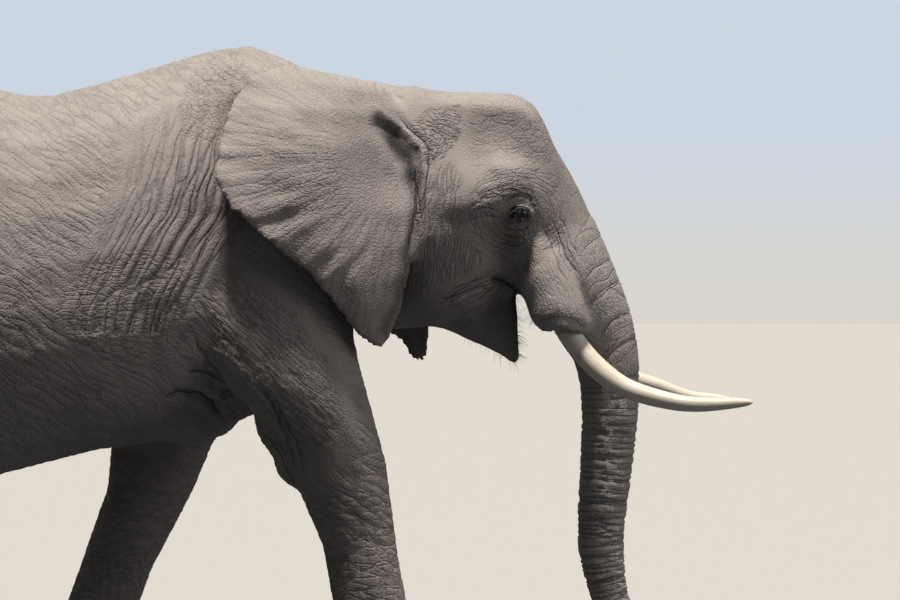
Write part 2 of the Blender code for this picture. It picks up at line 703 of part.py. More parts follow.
def cut_flesh(flesh, group, cutters):
    pieces = {}
    floor = Region((-CUT_REACH, -CUT_REACH, -1.0), (CUT_REACH, CUT_REACH, 0.0)).cutter("floor", 0.0, cutters)
    flesh = boolean(flesh, floor, "DIFFERENCE", group)
    tidy(flesh)
    legs = (
        ("foreleg_right", leg_regions(-1, 1.98, 1.10, 0.26, (0.02, 1.0), (-0.24, 0.52))),
        ("foreleg_left", leg_regions(1, 1.98, 1.10, 0.26, (-1.0, 0.02), (-0.46, 0.30))),
        ("hindleg_right", leg_regions(-1, 1.92, 0.98, 0.24, (-1.8, -0.8), (-1.97, -0.93))),
        ("hindleg_left", leg_regions(1, 1.92, 0.98, 0.24, (-2.3, -1.1), (-2.05, -1.05))),
    )
    for leg, regions in legs:
        for length, region in regions:
            pieces[f"{leg}_{length}"], flesh = part_off(flesh, f"{leg}_{length}", region, group, cutters)

    jaw_space = Region((-0.36, -0.4, -0.5), (0.008, 0.4, 0.0), (0.905, 0.0, 1.712), 2.0)
    pieces["lower_jaw"], flesh = part_off(flesh, "lower_jaw", jaw_space, group, cutters)
    for number, cut in enumerate(TRUNK_CUTS):
        middle, pitch = square_to(*cut)
        name = TRUNK_NAMES[number]
        region = Region((-0.30, -0.45, -2.2), (1.2, 0.45, 0.0), middle, pitch)
        pieces[name], flesh = part_off(flesh, name, region, group, cutters)
    for name, along, pitch in (("head", HEAD_CUT, 3.0), ("neck", NECK_CUT, 12.0)):
        ahead = Region((0.0, -1.0, -1.5), (2.0, 1.0, 1.5), (along, 0.0, 2.0), pitch)
        pieces[name], flesh = part_off(flesh, name, ahead, group, cutters)
    flesh.name = "torso"
    pieces["torso"] = flesh
    return pieces


# ---------------------------------------------------------------- ears, tusks, eyes, nails, tail
def ear_surface(side, group):
    """The blade of an ear as an open sheet; side is -1 for the right ear and 1 for the left."""
    rows = flowing(EAR, 1)
    shape = bmesh.new()
    thick = shape.verts.layers.deform.verify()
    grid = []
    for number, (front_x, front_z, rear_x, rear_z, *depths) in enumerate(rows):
        down = number / (len(rows) - 1)
        line = []
        for column in range(EAR_COLUMNS):
            back = column / (EAR_COLUMNS - 1)
            out = eased(back, EAR_KNOTS, depths)
            ripple = EAR_RIPPLE * math.sin(2 * math.pi * EAR_RIPPLES * down) * back ** 2
            swing = [amount * down ** 1.5 if side > 0 else 0.0 for amount in LEFT_EAR_SWING]
            vert = shape.verts.new((front_x + (rear_x - front_x) * back + swing[0],
                                    side * (out + ripple + swing[2]),
                                    front_z + (rear_z - front_z) * back + swing[1]))
            edge = min(back, 1 - back, 1 - down, down) if down > 0.55 else min(1 - back, down)
            vert[thick][0] = ramp(edge, 0.0, 0.35)
            line.append(vert)
        grid.append(line)
    for upper, lower in zip(grid, grid[1:]):
        for i in range(EAR_COLUMNS - 1):
            shape.faces.new((upper[i], upper[i + 1], lower[i + 1], lower[i]))
    bmesh.ops.recalc_face_normals(shape, faces=shape.faces)
    mesh = bpy.data.meshes.new("ear_sheet")
    shape.to_mesh(mesh)
    shape.free()
    sheet = add_object("ear_sheet", mesh, group)
    sheet.vertex_groups.new(name="thick")
    wall = sheet.modifiers.new("wall", "SOLIDIFY")
    wall.thickness = EAR_ROOT_THICKNESS
    wall.offset = 0.0
    wall.vertex_group = "thick"
    wall.thickness_vertex_group = EAR_RIM_THICKNESS / EAR_ROOT_THICKNESS
    made = evaluated_copy(sheet, "ear", group)
    remove(sheet)
    made.vertex_groups.clear()
    return made


def ear(side, room, group):
    name = "ear_left" if side > 0 else "ear_right"
    blade = ear_surface(side, group)
    blade.name = name
    blade = boolean(blade, room, "DIFFERENCE", group)
    keep_largest(blade)
    tidy(blade)
    return blade


def keep_largest(thing):
    """Drops every loose bit but the one with the most faces."""
    shape = bmesh.new()
    shape.from_mesh(thing.data)
    bmesh.ops.remove_doubles(shape, verts=shape.verts, dist=0.00002)
    left = set(shape.faces)
    bodies = []
    while left:
        front = [left.pop()]
        body = set(front)
        while front:
            face = front.pop()
            for edge in face.edges:
                for other in edge.link_faces:
                    if other not in body:
                        body.add(other)
                        front.append(other)
        left -= body
        bodies.append(body)
    largest = max(bodies, key=len)
    loose = [face for body in bodies if body is not largest for face in body]
    bmesh.ops.delete(shape, geom=loose, context="FACES")
    shape.to_mesh(thing.data)
    shape.free()


def tusk(side, group):
    name = "tusk_left" if side > 0 else "tusk_right"
    rows = flowing(TUSK, 1)
    root_x = rows[0][0]
    path = []
    for number, (x, apart, z, radius) in enumerate(rows):
        if side > 0:        # the left one is a little shorter and straighter, and its tip hangs lower
            along = number / (len(rows) - 1)
            x = root_x + (x - root_x) * LEFT_TUSK_SHARE
            lift = math.exp(-((along - LEFT_TUSK_PEAK) / LEFT_TUSK_REACH) ** 2)
            z += LEFT_TUSK_LIFT * lift - LEFT_TUSK_DROP * along ** 4
        path.append((x, side * apart, z))
    return tube_loft(name, path, [row[3] for row in rows], TUSK_SIDES, group)


def foot_nails(leg, stations, side, bearings, group):
    """Nails round the front of a foot, at bearings in degrees from straight ahead."""
    height = NAIL_MIDDLE
    low = [row for row in stations if row[0] <= height][0]
    high = [row for row in stations if row[0] > height][-1]
    share = (height - low[0]) / (high[0] - low[0])
    height, front, rear, apart, half_width = (a + (b - a) * share for a, b in zip(low, high))
    nails = []
    for number, bearing in enumerate(bearings, 1):
        angle = math.radians(bearing)
        reach = (front - rear) / 2
        ahead = reach * round_power(math.cos(angle), 2 / LIMB_ROUND) - NAIL_SINK * math.cos(angle)
        aside = half_width * round_power(math.sin(angle), 2 / LIMB_ROUND) - NAIL_SINK * math.sin(angle)
        place = ((front + rear) / 2 + ahead, side * apart + aside, height)
        nails.append(plate(f"nail_{leg}_{number}", place, (NAIL_DEPTH, NAIL_WIDTH / 2, NAIL_HEIGHT / 2),
                           group, (0, NAIL_LEAN, bearing)))
    return nails


def cut_by(piece, others, group, cutters):
    for other in others:
        piece = boolean(piece, grown(other, GAP, cutters), "DIFFERENCE", group)
        tidy(piece)
    return piece


def finish(thing, recipe):
    thing.data.materials.clear()
    thing.data.materials.append(material(recipe))
    thing.data.shade_smooth()
    thing.data.set_sharp_from_angle(angle=math.radians(50))


def build():
    clear_scene()
    parts = new_collection("elephant")
    cutters = new_collection("cutters")

    flesh = fused_flesh(parts)
    room = grown(flesh, GAP, cutters)
    tail_rows = flowing(TAIL, 1)
    tail = tube_loft("tail", [(x, 0, z) for x, z, r in tail_rows],
                     [r for x, z, r in tail_rows], 10, parts)
    tail = boolean(tail, room, "DIFFERENCE", parts)
    keep_largest(tail)
    tidy(tail)
    ears = [ear(side, room, parts) for side in (-1, 1)]
    tuft_rows = flowing(TUFT, 1)
    tuft = tube_loft("tail_tuft", [(x, 0, z - GAP) for x, z, r in tuft_rows],
                     [r for x, z, r in tuft_rows], 8, parts)

    pieces = cut_flesh(flesh, parts, cutters)
    tusks = [tusk(side, parts) for side in (-1, 1)]
    eyes = [ball("eye_left" if side > 0 else "eye_right", (EYE_AT[0], side * EYE_AT[1], EYE_AT[2]),
                 (EYE_RADIUS,) * 3, parts, (0, 0, 0), 10, 6) for side in (-1, 1)]
    nails = {}
    for leg, stations, side, bearings in (
            ("foreleg_right", FORELEG_FORWARD, -1, FORE_BEARINGS),
            ("foreleg_left", FORELEG_BACK, 1, FORE_BEARINGS),
            ("hindleg_right", HINDLEG_FORWARD, -1, HIND_BEARINGS),
            ("hindleg_left", HINDLEG_BACK, 1, HIND_BEARINGS)):
        nails[leg] = foot_nails(leg, stations, side, bearings, parts)
        pieces[leg + "_foot"] = cut_by(pieces[leg + "_foot"], nails[leg], parts, cutters)
    pieces["trunk_base"] = cut_by(pieces["trunk_base"], tusks, parts, cutters)
    pieces["head"] = cut_by(pieces["head"], eyes, parts, cutters)

    for side in (-1, 1):
        drill = tube_loft("nostril", [(NOSTRIL_FROM[0], side * NOSTRIL_APART, NOSTRIL_FROM[1]),
                                      (NOSTRIL_TO[0], side * NOSTRIL_APART, NOSTRIL_TO[1])],
                          [NOSTRIL_RADIUS, NOSTRIL_RADIUS], 10, cutters)
        show_as_cutter(drill)
        pieces["trunk_tip"] = boolean(pieces["trunk_tip"], drill, "DIFFERENCE", parts)
        tidy(pieces["trunk_tip"])

    for piece in list(pieces.values()) + ears + [tail]:
        finish(piece, SKIN)
    for piece in tusks:
        finish(piece, IVORY)
    for piece in eyes:
        finish(piece, EYE)
    for group_of_nails in nails.values():
        for piece in group_of_nails:
            finish(piece, NAIL)
    finish(tuft, HAIR)
    centre_on_box(parts)


def centre_on_box(group):
    """Moves every part so that the origin is under the middle of the whole box, on the floor."""
    corners = [vert.co for thing in group.objects for vert in thing.data.vertices]
    low = [min(corner[axis] for corner in corners) for axis in range(3)]
    high = [max(corner[axis] for corner in corners) for axis in range(3)]
    shift = Matrix.Translation((-(low[0] + high[0]) / 2, -(low[1] + high[1]) / 2, -low[2]))
    for thing in group.objects:
        thing.data.transform(shift)
        thing.data.update()


build()
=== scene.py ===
import math

import bmesh
import bpy
import numpy as np
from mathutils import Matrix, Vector
from mathutils.bvhtree import BVHTree


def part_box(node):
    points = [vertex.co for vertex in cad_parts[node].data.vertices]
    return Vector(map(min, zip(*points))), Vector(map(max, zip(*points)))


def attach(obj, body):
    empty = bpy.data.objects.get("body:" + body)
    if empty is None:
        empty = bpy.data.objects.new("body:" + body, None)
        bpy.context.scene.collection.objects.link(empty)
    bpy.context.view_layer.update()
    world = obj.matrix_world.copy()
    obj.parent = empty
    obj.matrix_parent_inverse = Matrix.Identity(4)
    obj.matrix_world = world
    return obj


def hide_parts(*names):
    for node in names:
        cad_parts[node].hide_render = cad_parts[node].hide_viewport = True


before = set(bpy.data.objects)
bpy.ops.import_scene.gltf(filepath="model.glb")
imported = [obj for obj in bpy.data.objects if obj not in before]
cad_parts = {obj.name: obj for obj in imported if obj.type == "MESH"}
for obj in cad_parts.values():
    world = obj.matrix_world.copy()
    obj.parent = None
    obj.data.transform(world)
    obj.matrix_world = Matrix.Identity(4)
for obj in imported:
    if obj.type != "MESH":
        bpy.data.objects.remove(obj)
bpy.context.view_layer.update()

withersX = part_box("tusk_right")[1].x - 1.639      # every x below is measured from the withers


# small helpers
def linear(hexColour):
    parts = [int(hexColour[i:i + 2], 16) / 255 for i in (1, 3, 5)]
    return (*[c / 12.92 if c <= 0.04045 else ((c + 0.055) / 1.055) ** 2.4 for c in parts], 1.0)


def addNode(tree, kind, inputs=None, **settings):
    made = tree.nodes.new(kind)
    for name, value in settings.items():
        setattr(made, name, value)
    setInputs(tree, made, inputs or {})
    return made


def setInputs(tree, node, inputs):      # each is a value, a socket, or a node that stands for its first output
    for key, value in inputs.items():
        value = value.outputs[0] if isinstance(value, bpy.types.Node) else value
        if isinstance(value, bpy.types.NodeSocket):
            tree.links.new(value, node.inputs[key])
        else:
            node.inputs[key].default_value = value


smoothStep = {"interpolation_type": "SMOOTHSTEP"}
mixColours = {"data_type": "RGBA"}
toEdge = {"feature": "DISTANCE_TO_EDGE"}


def newMaterial(name):
    made = bpy.data.materials.new(name)
    made.use_nodes = True
    return made, made.node_tree, made.node_tree.nodes["Principled BSDF"]


def meshFrom(shape, name):
    mesh = bpy.data.meshes.new(name)
    shape.to_mesh(mesh)
    shape.free()
    return mesh


def coat(mesh, finish):     # one finish all over, softly shaded
    mesh.materials.clear()
    mesh.materials.append(finish)
    mesh.polygons.foreach_set("use_smooth", [True] * len(mesh.polygons))


def newThing(name, mesh):
    made = bpy.data.objects.new(name, mesh)
    bpy.context.scene.collection.objects.link(made)
    return made


def applied(thing):     # the modifiers' result becomes the mesh
    bpy.context.view_layer.update()
    graph = bpy.context.evaluated_depsgraph_get()
    mesh = bpy.data.meshes.new_from_object(thing.evaluated_get(graph), preserve_all_data_layers=True,
                                           depsgraph=graph)
    thing.modifiers.clear()
    old, thing.data = thing.data, mesh
    bpy.data.meshes.remove(old)
    mesh.name = thing.name
    return thing


def readTable(rows, field, wide, kind=np.float32):
    flat = np.empty(len(rows) * wide, kind)
    rows.foreach_get(field, flat)
    return flat.reshape(-1, wide)


def readPoints(mesh):
    points = readTable(mesh.vertices, "co", 3).astype(float)
    points[:, 0] -= withersX
    return points


def writePoints(mesh, points):
    moved = points.copy()
    moved[:, 0] += withersX
    mesh.vertices.foreach_set("co", moved.astype(np.float32).ravel())
    mesh.update()


def readNormals(mesh):
    return readTable(mesh.vertex_normals, "vector", 3).astype(float)


def readEdges(mesh):
    return readTable(mesh.edges, "vertices", 2, np.int32)


def storeValues(mesh, name, values):
    kind, field = ("FLOAT", "value") if values.ndim == 1 else ("FLOAT_VECTOR", "vector")
    layer = mesh.attributes.get(name) or mesh.attributes.new(name, kind, "POINT")
    layer.data.foreach_set(field, values.astype(np.float32).ravel())


def readValues(mesh, name):
    return readTable(mesh.attributes[name].data, "value", 1).ravel().astype(float)


def readVectors(mesh, name):
    return readTable(mesh.attributes[name].data, "vector", 3).astype(float)


def neighbourMean(edges, values):
    count = np.bincount(edges.ravel(), minlength=len(values)).astype(float)
    columns = values.reshape(len(values), -1)
    total = np.empty_like(columns)
    for i in range(columns.shape[1]):
        total[:, i] = (np.bincount(edges[:, 0], columns[edges[:, 1], i], len(values))
                       + np.bincount(edges[:, 1], columns[edges[:, 0], i], len(values)))
    return (total / np.maximum(count, 1)[:, None]).reshape(values.shape)


def spread(edges, values, rounds):      # softens a value along the surface
    for _ in range(rounds):
        values = 0.5 * values + 0.5 * neighbourMean(edges, values)
    return values


def eased(edges, points, rounds, steps, share=1.0):     # a step in and a step out, so nothing shrinks
    for _ in range(rounds):
        for step in steps:
            points = points + (neighbourMean(edges, points) - points) * (share * step)
    return points


def ramp(value, low, high):     # 0 below low, 1 above high, smooth between
    t = np.clip((value - low) / (high - low), 0, 1)
    return t * t * (3 - 2 * t)


def wander(points, reach, seed):        # a smooth drift between about -1 and 1
    draw = np.random.default_rng(seed)
    total = np.zeros(len(points))
    for share in (0.6, 0.8, 1.0, 1.35):
        heading = draw.normal(size=3)
        heading /= np.linalg.norm(heading)
        total += np.sin(points @ heading * 2 * math.pi / (reach * share) + draw.uniform(0, 6.28))
    return total / 2


def mound(x, z, at, reach, turn=0.0):   # 1 at the middle of a turned oval, falling off round it
    c, s = math.cos(math.radians(turn)), math.sin(math.radians(turn))
    along = (x - at[0]) * c + (z - at[1]) * s
    up = (z - at[1]) * c - (x - at[0]) * s
    return np.exp(-(along / reach[0]) ** 2 - (up / reach[1]) ** 2)


def smoothTable(table, steps):      # a smooth curve through the rows
    rows = np.array(table, float)
    padded = np.vstack((2 * rows[0] - rows[1], rows, 2 * rows[-1] - rows[-2]))
    curve = []
    for a, b, c, d in zip(padded, padded[1:], padded[2:], padded[3:]):
        for t in np.arange(steps) / steps:
            curve.append(0.5 * (2 * b + (c - a) * t + (2 * a - 5 * b + 4 * c - d) * t ** 2
                                + (3 * b - a - 3 * c + d) * t ** 3))
    return np.array(curve + [rows[-1]])


def eyeCentre(side):        # side is -1 on the right, 1 on the left
    low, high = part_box("eye_right" if side < 0 else "eye_left")
    return (low + high) / 2


def startTree(name, sizes):     # geometry nodes that take the hide in, with named inputs for their sizes
    tree = bpy.data.node_groups.new(name, "GeometryNodeTree")
    for label, kind in {"Hide": "Geometry", **sizes, "Finish": "Material"}.items():
        tree.interface.new_socket(label, in_out="INPUT", socket_type="NodeSocket" + kind)
    tree.interface.new_socket("Hide", in_out="OUTPUT", socket_type="NodeSocketGeometry")
    return tree, addNode(tree, "NodeGroupInput")


def endTree(tree, start, shaped):
    whole = addNode(tree, "GeometryNodeRealizeInstances", {0: shaped})
    finish = addNode(tree, "GeometryNodeSetMaterial", {"Geometry": whole, "Material": start.outputs["Finish"]})
    addNode(tree, "NodeGroupOutput", {0: finish})


def runTree(thing, tree, values):       # each input is set by its socket's identifier
    modifier = thing.modifiers.new(tree.name, "NODES")
    modifier.node_group = tree
    for item in tree.interface.items_tree:
        if item.item_type == "SOCKET" and item.in_out == "INPUT" and item.name in values:
            modifier[item.identifier] = values[item.name]
    return applied(thing)


# floor, light and camera
studio = {"floor": "#a3a09b", "floorReach": 90.0, "world": "#e9eef5", "worldStrength": 0.13, "backdropReach": 88.0,
          "backdropLow": "#d9d5cd", "backdropHigh": "#ccd6e2", "backdropFade": 3.6,
          "cameraAway": 20.0, "cameraHeight": 1.98, "aimX": 0.677, "aimZ": 1.690, "lens": 248.0, "film": 36.0,
          "lampAway": 8.0, "farthest": 200.0}

# name: where its light comes from, how wide in degrees, strength, colour
lamps = {"overhead bank": ((-0.05, -0.16, 1.0), 8.0, 5.9, "#fffaf4"),
         "front bank": ((1.0, -0.35, 0.50), 40.0, 0.85, "#ffffff"),
         "back bank": ((-0.5, 1.0, 0.9), 40.0, 0.25, "#f4f7ff")}


def buildStudio():
    shape = bmesh.new()
    bmesh.ops.create_circle(shape, cap_ends=True, segments=96, radius=studio["floorReach"])
    floor = newThing("floor", meshFrom(shape, "floor"))
    made, tree, shader = newMaterial("painted studio floor")    # matt paint: even, no gloss
    setInputs(tree, shader, {"Base Color": linear(studio["floor"]), "Roughness": 0.9, "Specular IOR Level": 0.2})
    floor.data.materials.append(made)
    floor.visible_diffuse = floor.visible_glossy = False       # it holds the shadow, but throws no light up

    shape = bmesh.new()
    bmesh.ops.create_uvsphere(shape, u_segments=64, v_segments=32, radius=studio["backdropReach"])
    bmesh.ops.reverse_faces(shape, faces=shape.faces)
    backdrop = newThing("backdrop", meshFrom(shape, "backdrop"))
    made, tree, shader = newMaterial("lit studio backdrop")     # a plain even paper, lit on its own
    coords = addNode(tree, "ShaderNodeTexCoord")
    height = addNode(tree, "ShaderNodeSeparateXYZ", {0: coords.outputs["Object"]})
    rise = addNode(tree, "ShaderNodeMapRange", {0: height.outputs["Z"], 1: 0.0, 2: studio["backdropFade"]},
                   **smoothStep)
    tone = addNode(tree, "ShaderNodeMix", {0: rise, 6: linear(studio["backdropLow"]),
                                           7: linear(studio["backdropHigh"])}, **mixColours)
    setInputs(tree, shader, {"Base Color": (0, 0, 0, 1), "Specular IOR Level": 0.0,
                             "Emission Color": tone.outputs[2], "Emission Strength": 1.0})
    backdrop.data.materials.append(made)
    backdrop.visible_diffuse = backdrop.visible_glossy = backdrop.visible_shadow = False

    world = bpy.data.worlds.new("studio air")
    world.use_nodes = True
    back = world.node_tree.nodes["Background"]
    back.inputs["Color"].default_value = linear(studio["world"])
    back.inputs["Strength"].default_value = studio["worldStrength"]
    bpy.context.scene.world = world

    for name, (comesFrom, spreadAngle, power, colour) in lamps.items():
        lamp = bpy.data.lights.new(name, "SUN")
        lamp.angle, lamp.energy = math.radians(spreadAngle), power
        lamp.color = linear(colour)[:3]
        thing = newThing(name, lamp)
        thing.location = Vector(comesFrom) * studio["lampAway"]
        thing.rotation_euler = Vector(comesFrom).to_track_quat("Z", "Y").to_euler()

    eye = bpy.data.cameras.new("camera")
    eye.lens, eye.sensor_width, eye.clip_end = studio["lens"], studio["film"], studio["farthest"]
    camera = newThing("camera", eye)
    at = Vector((studio["aimX"] + withersX, -studio["cameraAway"], studio["cameraHeight"]))
    aim = Vector((studio["aimX"] + withersX, 0.0, studio["aimZ"]))
    camera.location = at
    camera.rotation_euler = (aim - at).to_track_quat("-Z", "Y").to_euler()
    bpy.context.scene.camera = camera
    bpy.context.scene.view_settings.view_transform = "Standard"


buildStudio()
print("studio ready")

# the skin: one surface over every length of flesh
skinPlan = {"cell": 0.0115, "triangles": 198000, "earSwell": 0.003, "trunkSwell": 0.006, "finishRounds": 3,
            "sole": 0.001, "refinedSole": 0.0015, "lowest": 0.0005, "keepFace": 0.10, "keepStrength": 0.0002}
fleshNodes = sorted(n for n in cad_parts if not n.startswith(("nail", "tusk", "eye", "tail_tuft")))
smoothing = {"rounds": 60, "inward": 0.5, "outward": -0.49, "ear": 0.7, "earFlat": (0.45, 0.8), "earEdge": 0.04,
             "foot": 0.7, "soleBand": 0.004,
             "share": {"torso": 1.0, "neck": 1.0, "head": 0.75, "lower_jaw": 0.7, "trunk": 0.7,
                       "foreleg": 0.9, "hindleg": 0.9, "tail": 0.3}}


def joinNodes(names):       # their points and triangles as one, and which node each triangle is from
    points, faces, owner, start = [], [], [], 0
    for index, name in enumerate(names):
        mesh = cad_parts[name].data
        own = readPoints(mesh)
        if name.startswith("ear"):      # thin edges need a little more body to survive the remesh
            own = own + readNormals(mesh) * skinPlan["earSwell"]
        mesh.calc_loop_triangles()
        corners = readTable(mesh.loop_triangles, "vertices", 3, np.int32)
        points.append(own)
        faces.append(corners + start)
        owner += [index] * len(corners)
        start += len(own)
    return np.vstack(points), np.vstack(faces), np.array(owner)


def coverNodes(name, names, cell):      # one closed surface over them all
    points, faces, owner = joinNodes(names)
    mesh = bpy.data.meshes.new(name)
    mesh.from_pydata((points + (withersX, 0, 0)).tolist(), [], faces.tolist())
    thing = newThing(name, mesh)
    cover = thing.modifiers.new("cover", "REMESH")
    cover.mode, cover.voxel_size, cover.adaptivity = "VOXEL", cell, 0.0
    return applied(thing), points, faces, owner


def keepLargest(thing):      # anything loose inside or beside it goes
    edges = readEdges(thing.data)
    label = np.arange(len(thing.data.vertices))
    while True:
        low = np.minimum(label[edges[:, 0]], label[edges[:, 1]])
        new = label.copy()
        np.minimum.at(new, edges[:, 0], low)
        np.minimum.at(new, edges[:, 1], low)
        new = new[new]
        if (new == label).all():
            break
        label = new
    keep = np.bincount(label).argmax()
    if (label == keep).all():
        return
    shape = bmesh.new()
    shape.from_mesh(thing.data)
    shape.verts.ensure_lookup_table()
    bmesh.ops.delete(shape, geom=[shape.verts[int(i)] for i in np.flatnonzero(label != keep)], context="VERTS")
    shape.to_mesh(thing.data)
    shape.free()


def areaOf(node, *starts):      # 1 where the nearest flesh node has such a name
    wanted = [i for i, name in enumerate(fleshNodes) if name.startswith(starts)]
    return np.isin(node, wanted).astype(float)


def smoothFlesh(skin, node):
    mesh = skin.data
    edges = readEdges(mesh)
    points = readPoints(mesh)
    share = np.zeros(len(points))
    for start, amount in smoothing["share"].items():
        share[areaOf(node, start) > 0] = amount
    share[[fleshNodes[i].endswith("foot") for i in node]] = smoothing["foot"]
    flat = spread(edges, np.abs(readNormals(mesh)[:, 1]), 2)
    onEar = smoothing["ear"] * ramp(flat, *smoothing["earFlat"]) + smoothing["earEdge"]
    share = np.where(areaOf(node, "ear") > 0, onEar, share)
    share = spread(edges, share, 4)
    sole = points[:, 2] < smoothing["soleBand"]
    for _ in range(smoothing["rounds"]):
        for step in (smoothing["inward"], smoothing["outward"]):
            points = eased(edges, points, 1, (step,), share[:, None])
            points[sole, 2] = skinPlan["sole"]
    writePoints(mesh, points)


skin, fleshPoints, fleshFaces, fleshOwner = coverNodes("skin", fleshNodes, skinPlan["cell"])
keepLargest(skin)
nearest = BVHTree.FromPolygons(fleshPoints.tolist(), fleshFaces.tolist())
nodeOf = fleshOwner[[nearest.find_nearest(p)[2] for p in readPoints(skin.data).tolist()]]
print("skin: covered,", len(skin.data.vertices), "points")
smoothFlesh(skin, nodeOf)
print("skin: smoothed")

# broad forms pressed into the face and body, on both sides or on the right side only
# name: place along, height, reach along, reach up, turn in degrees, rise in metres, flesh it is on
pressedForms = {
    "temple hollow": (0.830, 2.258, 0.090, 0.055, -8, -0.011, "head"),
    "temple hollow rear": (0.690, 2.270, 0.050, 0.060, 0, -0.004, "head"),
    "cheekbone": (0.765, 2.050, 0.130, 0.088, -8, 0.019, "head"),
    "brow over eye": (0.885, 2.046, 0.075, 0.026, -10, 0.006, "head"),
    "eye mound": (0.880, 1.972, 0.075, 0.050, 0, 0.003, "head"),
    "under the eye": (0.860, 1.840, 0.075, 0.075, -25, -0.024, "head"),
    "jowl": (0.690, 1.700, 0.130, 0.050, 8, 0.008, "head"),
    "mouth corner": (0.868, 1.735, 0.026, 0.040, -30, -0.026, "head"),
    "tusk socket": (1.020, 1.800, 0.070, 0.120, 35, 0.002, "head"),
    "trunk flank": (1.075, 1.800, 0.140, 0.042, -65, 0.026, "snout"),
    "sheath flare": (1.030, 1.640, 0.080, 0.070, 0, 0.016, "snout"),
    "behind the ear": (-0.02, 2.230, 0.035, 0.160, -12, -0.012, "body"),
    "shoulder blade": (-0.02, 1.900, 0.110, 0.260, -8, 0.010, "body"),
    "hollow behind the shoulder": (-0.200, 1.560, 0.080, 0.200, 25, -0.012, "body"),
    "breast": (-0.150, 1.318, 0.085, 0.050, 8, 0.072, "body"),
    "upper arm": (-0.010, 1.470, 0.240, 0.070, -60, 0.014, "flank"),
    "hip bone": (-1.130, 2.080, 0.120, 0.120, 0, 0.014, "body"),
    "flank hollow": (-0.930, 1.800, 0.130, 0.200, 15, -0.014, "body"),
    "thigh": (-1.450, 1.550, 0.200, 0.300, 0, 0.012, "body"),
}

# name: place along, height, reach, shift along, shift up, flesh it is on
pulledForms = {
    "mouth opening": (0.908, 1.676, 0.030, -0.006, 0.030, "head"),
    "nape hump": (0.161, 2.460, 0.090, 0.0, 0.011, "body"),
    "poll": (0.555, 2.375, 0.080, 0.0, 0.009, "head"),
    "forehead corner": (0.945, 2.310, 0.070, 0.007, 0.005, "head"),
    "sheath foot": (1.035, 1.570, 0.045, -0.006, 0.026, "head"),
    "sheath front": (1.105, 1.592, 0.045, 0.018, -0.024, "head"),
    "sheath corner": (0.985, 1.628, 0.045, -0.022, 0.008, "head"),
    "chin": (0.890, 1.500, 0.050, 0.006, -0.014, "head"),
    "under the jaw": (0.760, 1.545, 0.090, 0.0, -0.010, "head"),
    "armpit": (0.035, 1.275, 0.065, -0.006, 0.060, "body"),
    "elbow": (0.078, 1.186, 0.082, 0.046, 0.004, "leg"),
    "left ear rear": (0.500, 1.545, 0.040, 0.018, 0.020, "ear"),
}
rightForms = ("elbow", "breast", "upper arm", "breast fold", "breast fold below", "breast fold above")
middleReach = 0.05      # how far over the middle a form of one side may run
armpitFade = (0.08, 0.24)
formFacing = (0.15, 0.6)        # how far a surface must face sideways to be pressed, from none to all


def sideShare(name, y):     # the left foreleg stands further back, so it has no share in the right one's forms
    if name in rightForms:
        return y < middleReach
    if name == "left ear rear":
        return y > middleReach
    return 1 - ramp(y, *armpitFade) if name == "armpit" else np.ones(len(y))


def pressForms(skin, area):
    area = dict(area, flank=np.maximum(area["body"], area["leg"]), snout=np.maximum(area["head"], area["trunk"]))
    mesh = skin.data
    points, normals = readPoints(mesh), readNormals(mesh)
    for name, (x, z, reach, along, up, flesh) in pulledForms.items():
        near = mound(points[:, 0], points[:, 2], (x, z), (reach, reach))
        near = near * area[flesh] * sideShare(name, points[:, 1])
        points[:, 0] += near * along
        points[:, 2] += near * up
    points += normals * (area["trunk"] * skinPlan["trunkSwell"])[:, None]
    facing = ramp(np.abs(normals[:, 1]), *formFacing)
    for name, (x, z, along, up, turn, rise, flesh) in pressedForms.items():
        near = mound(points[:, 0], points[:, 2], (x, z), (along, up), turn) * sideShare(name, points[:, 1])
        points += normals * (near * facing * area[flesh] * rise)[:, None]
    writePoints(mesh, points)


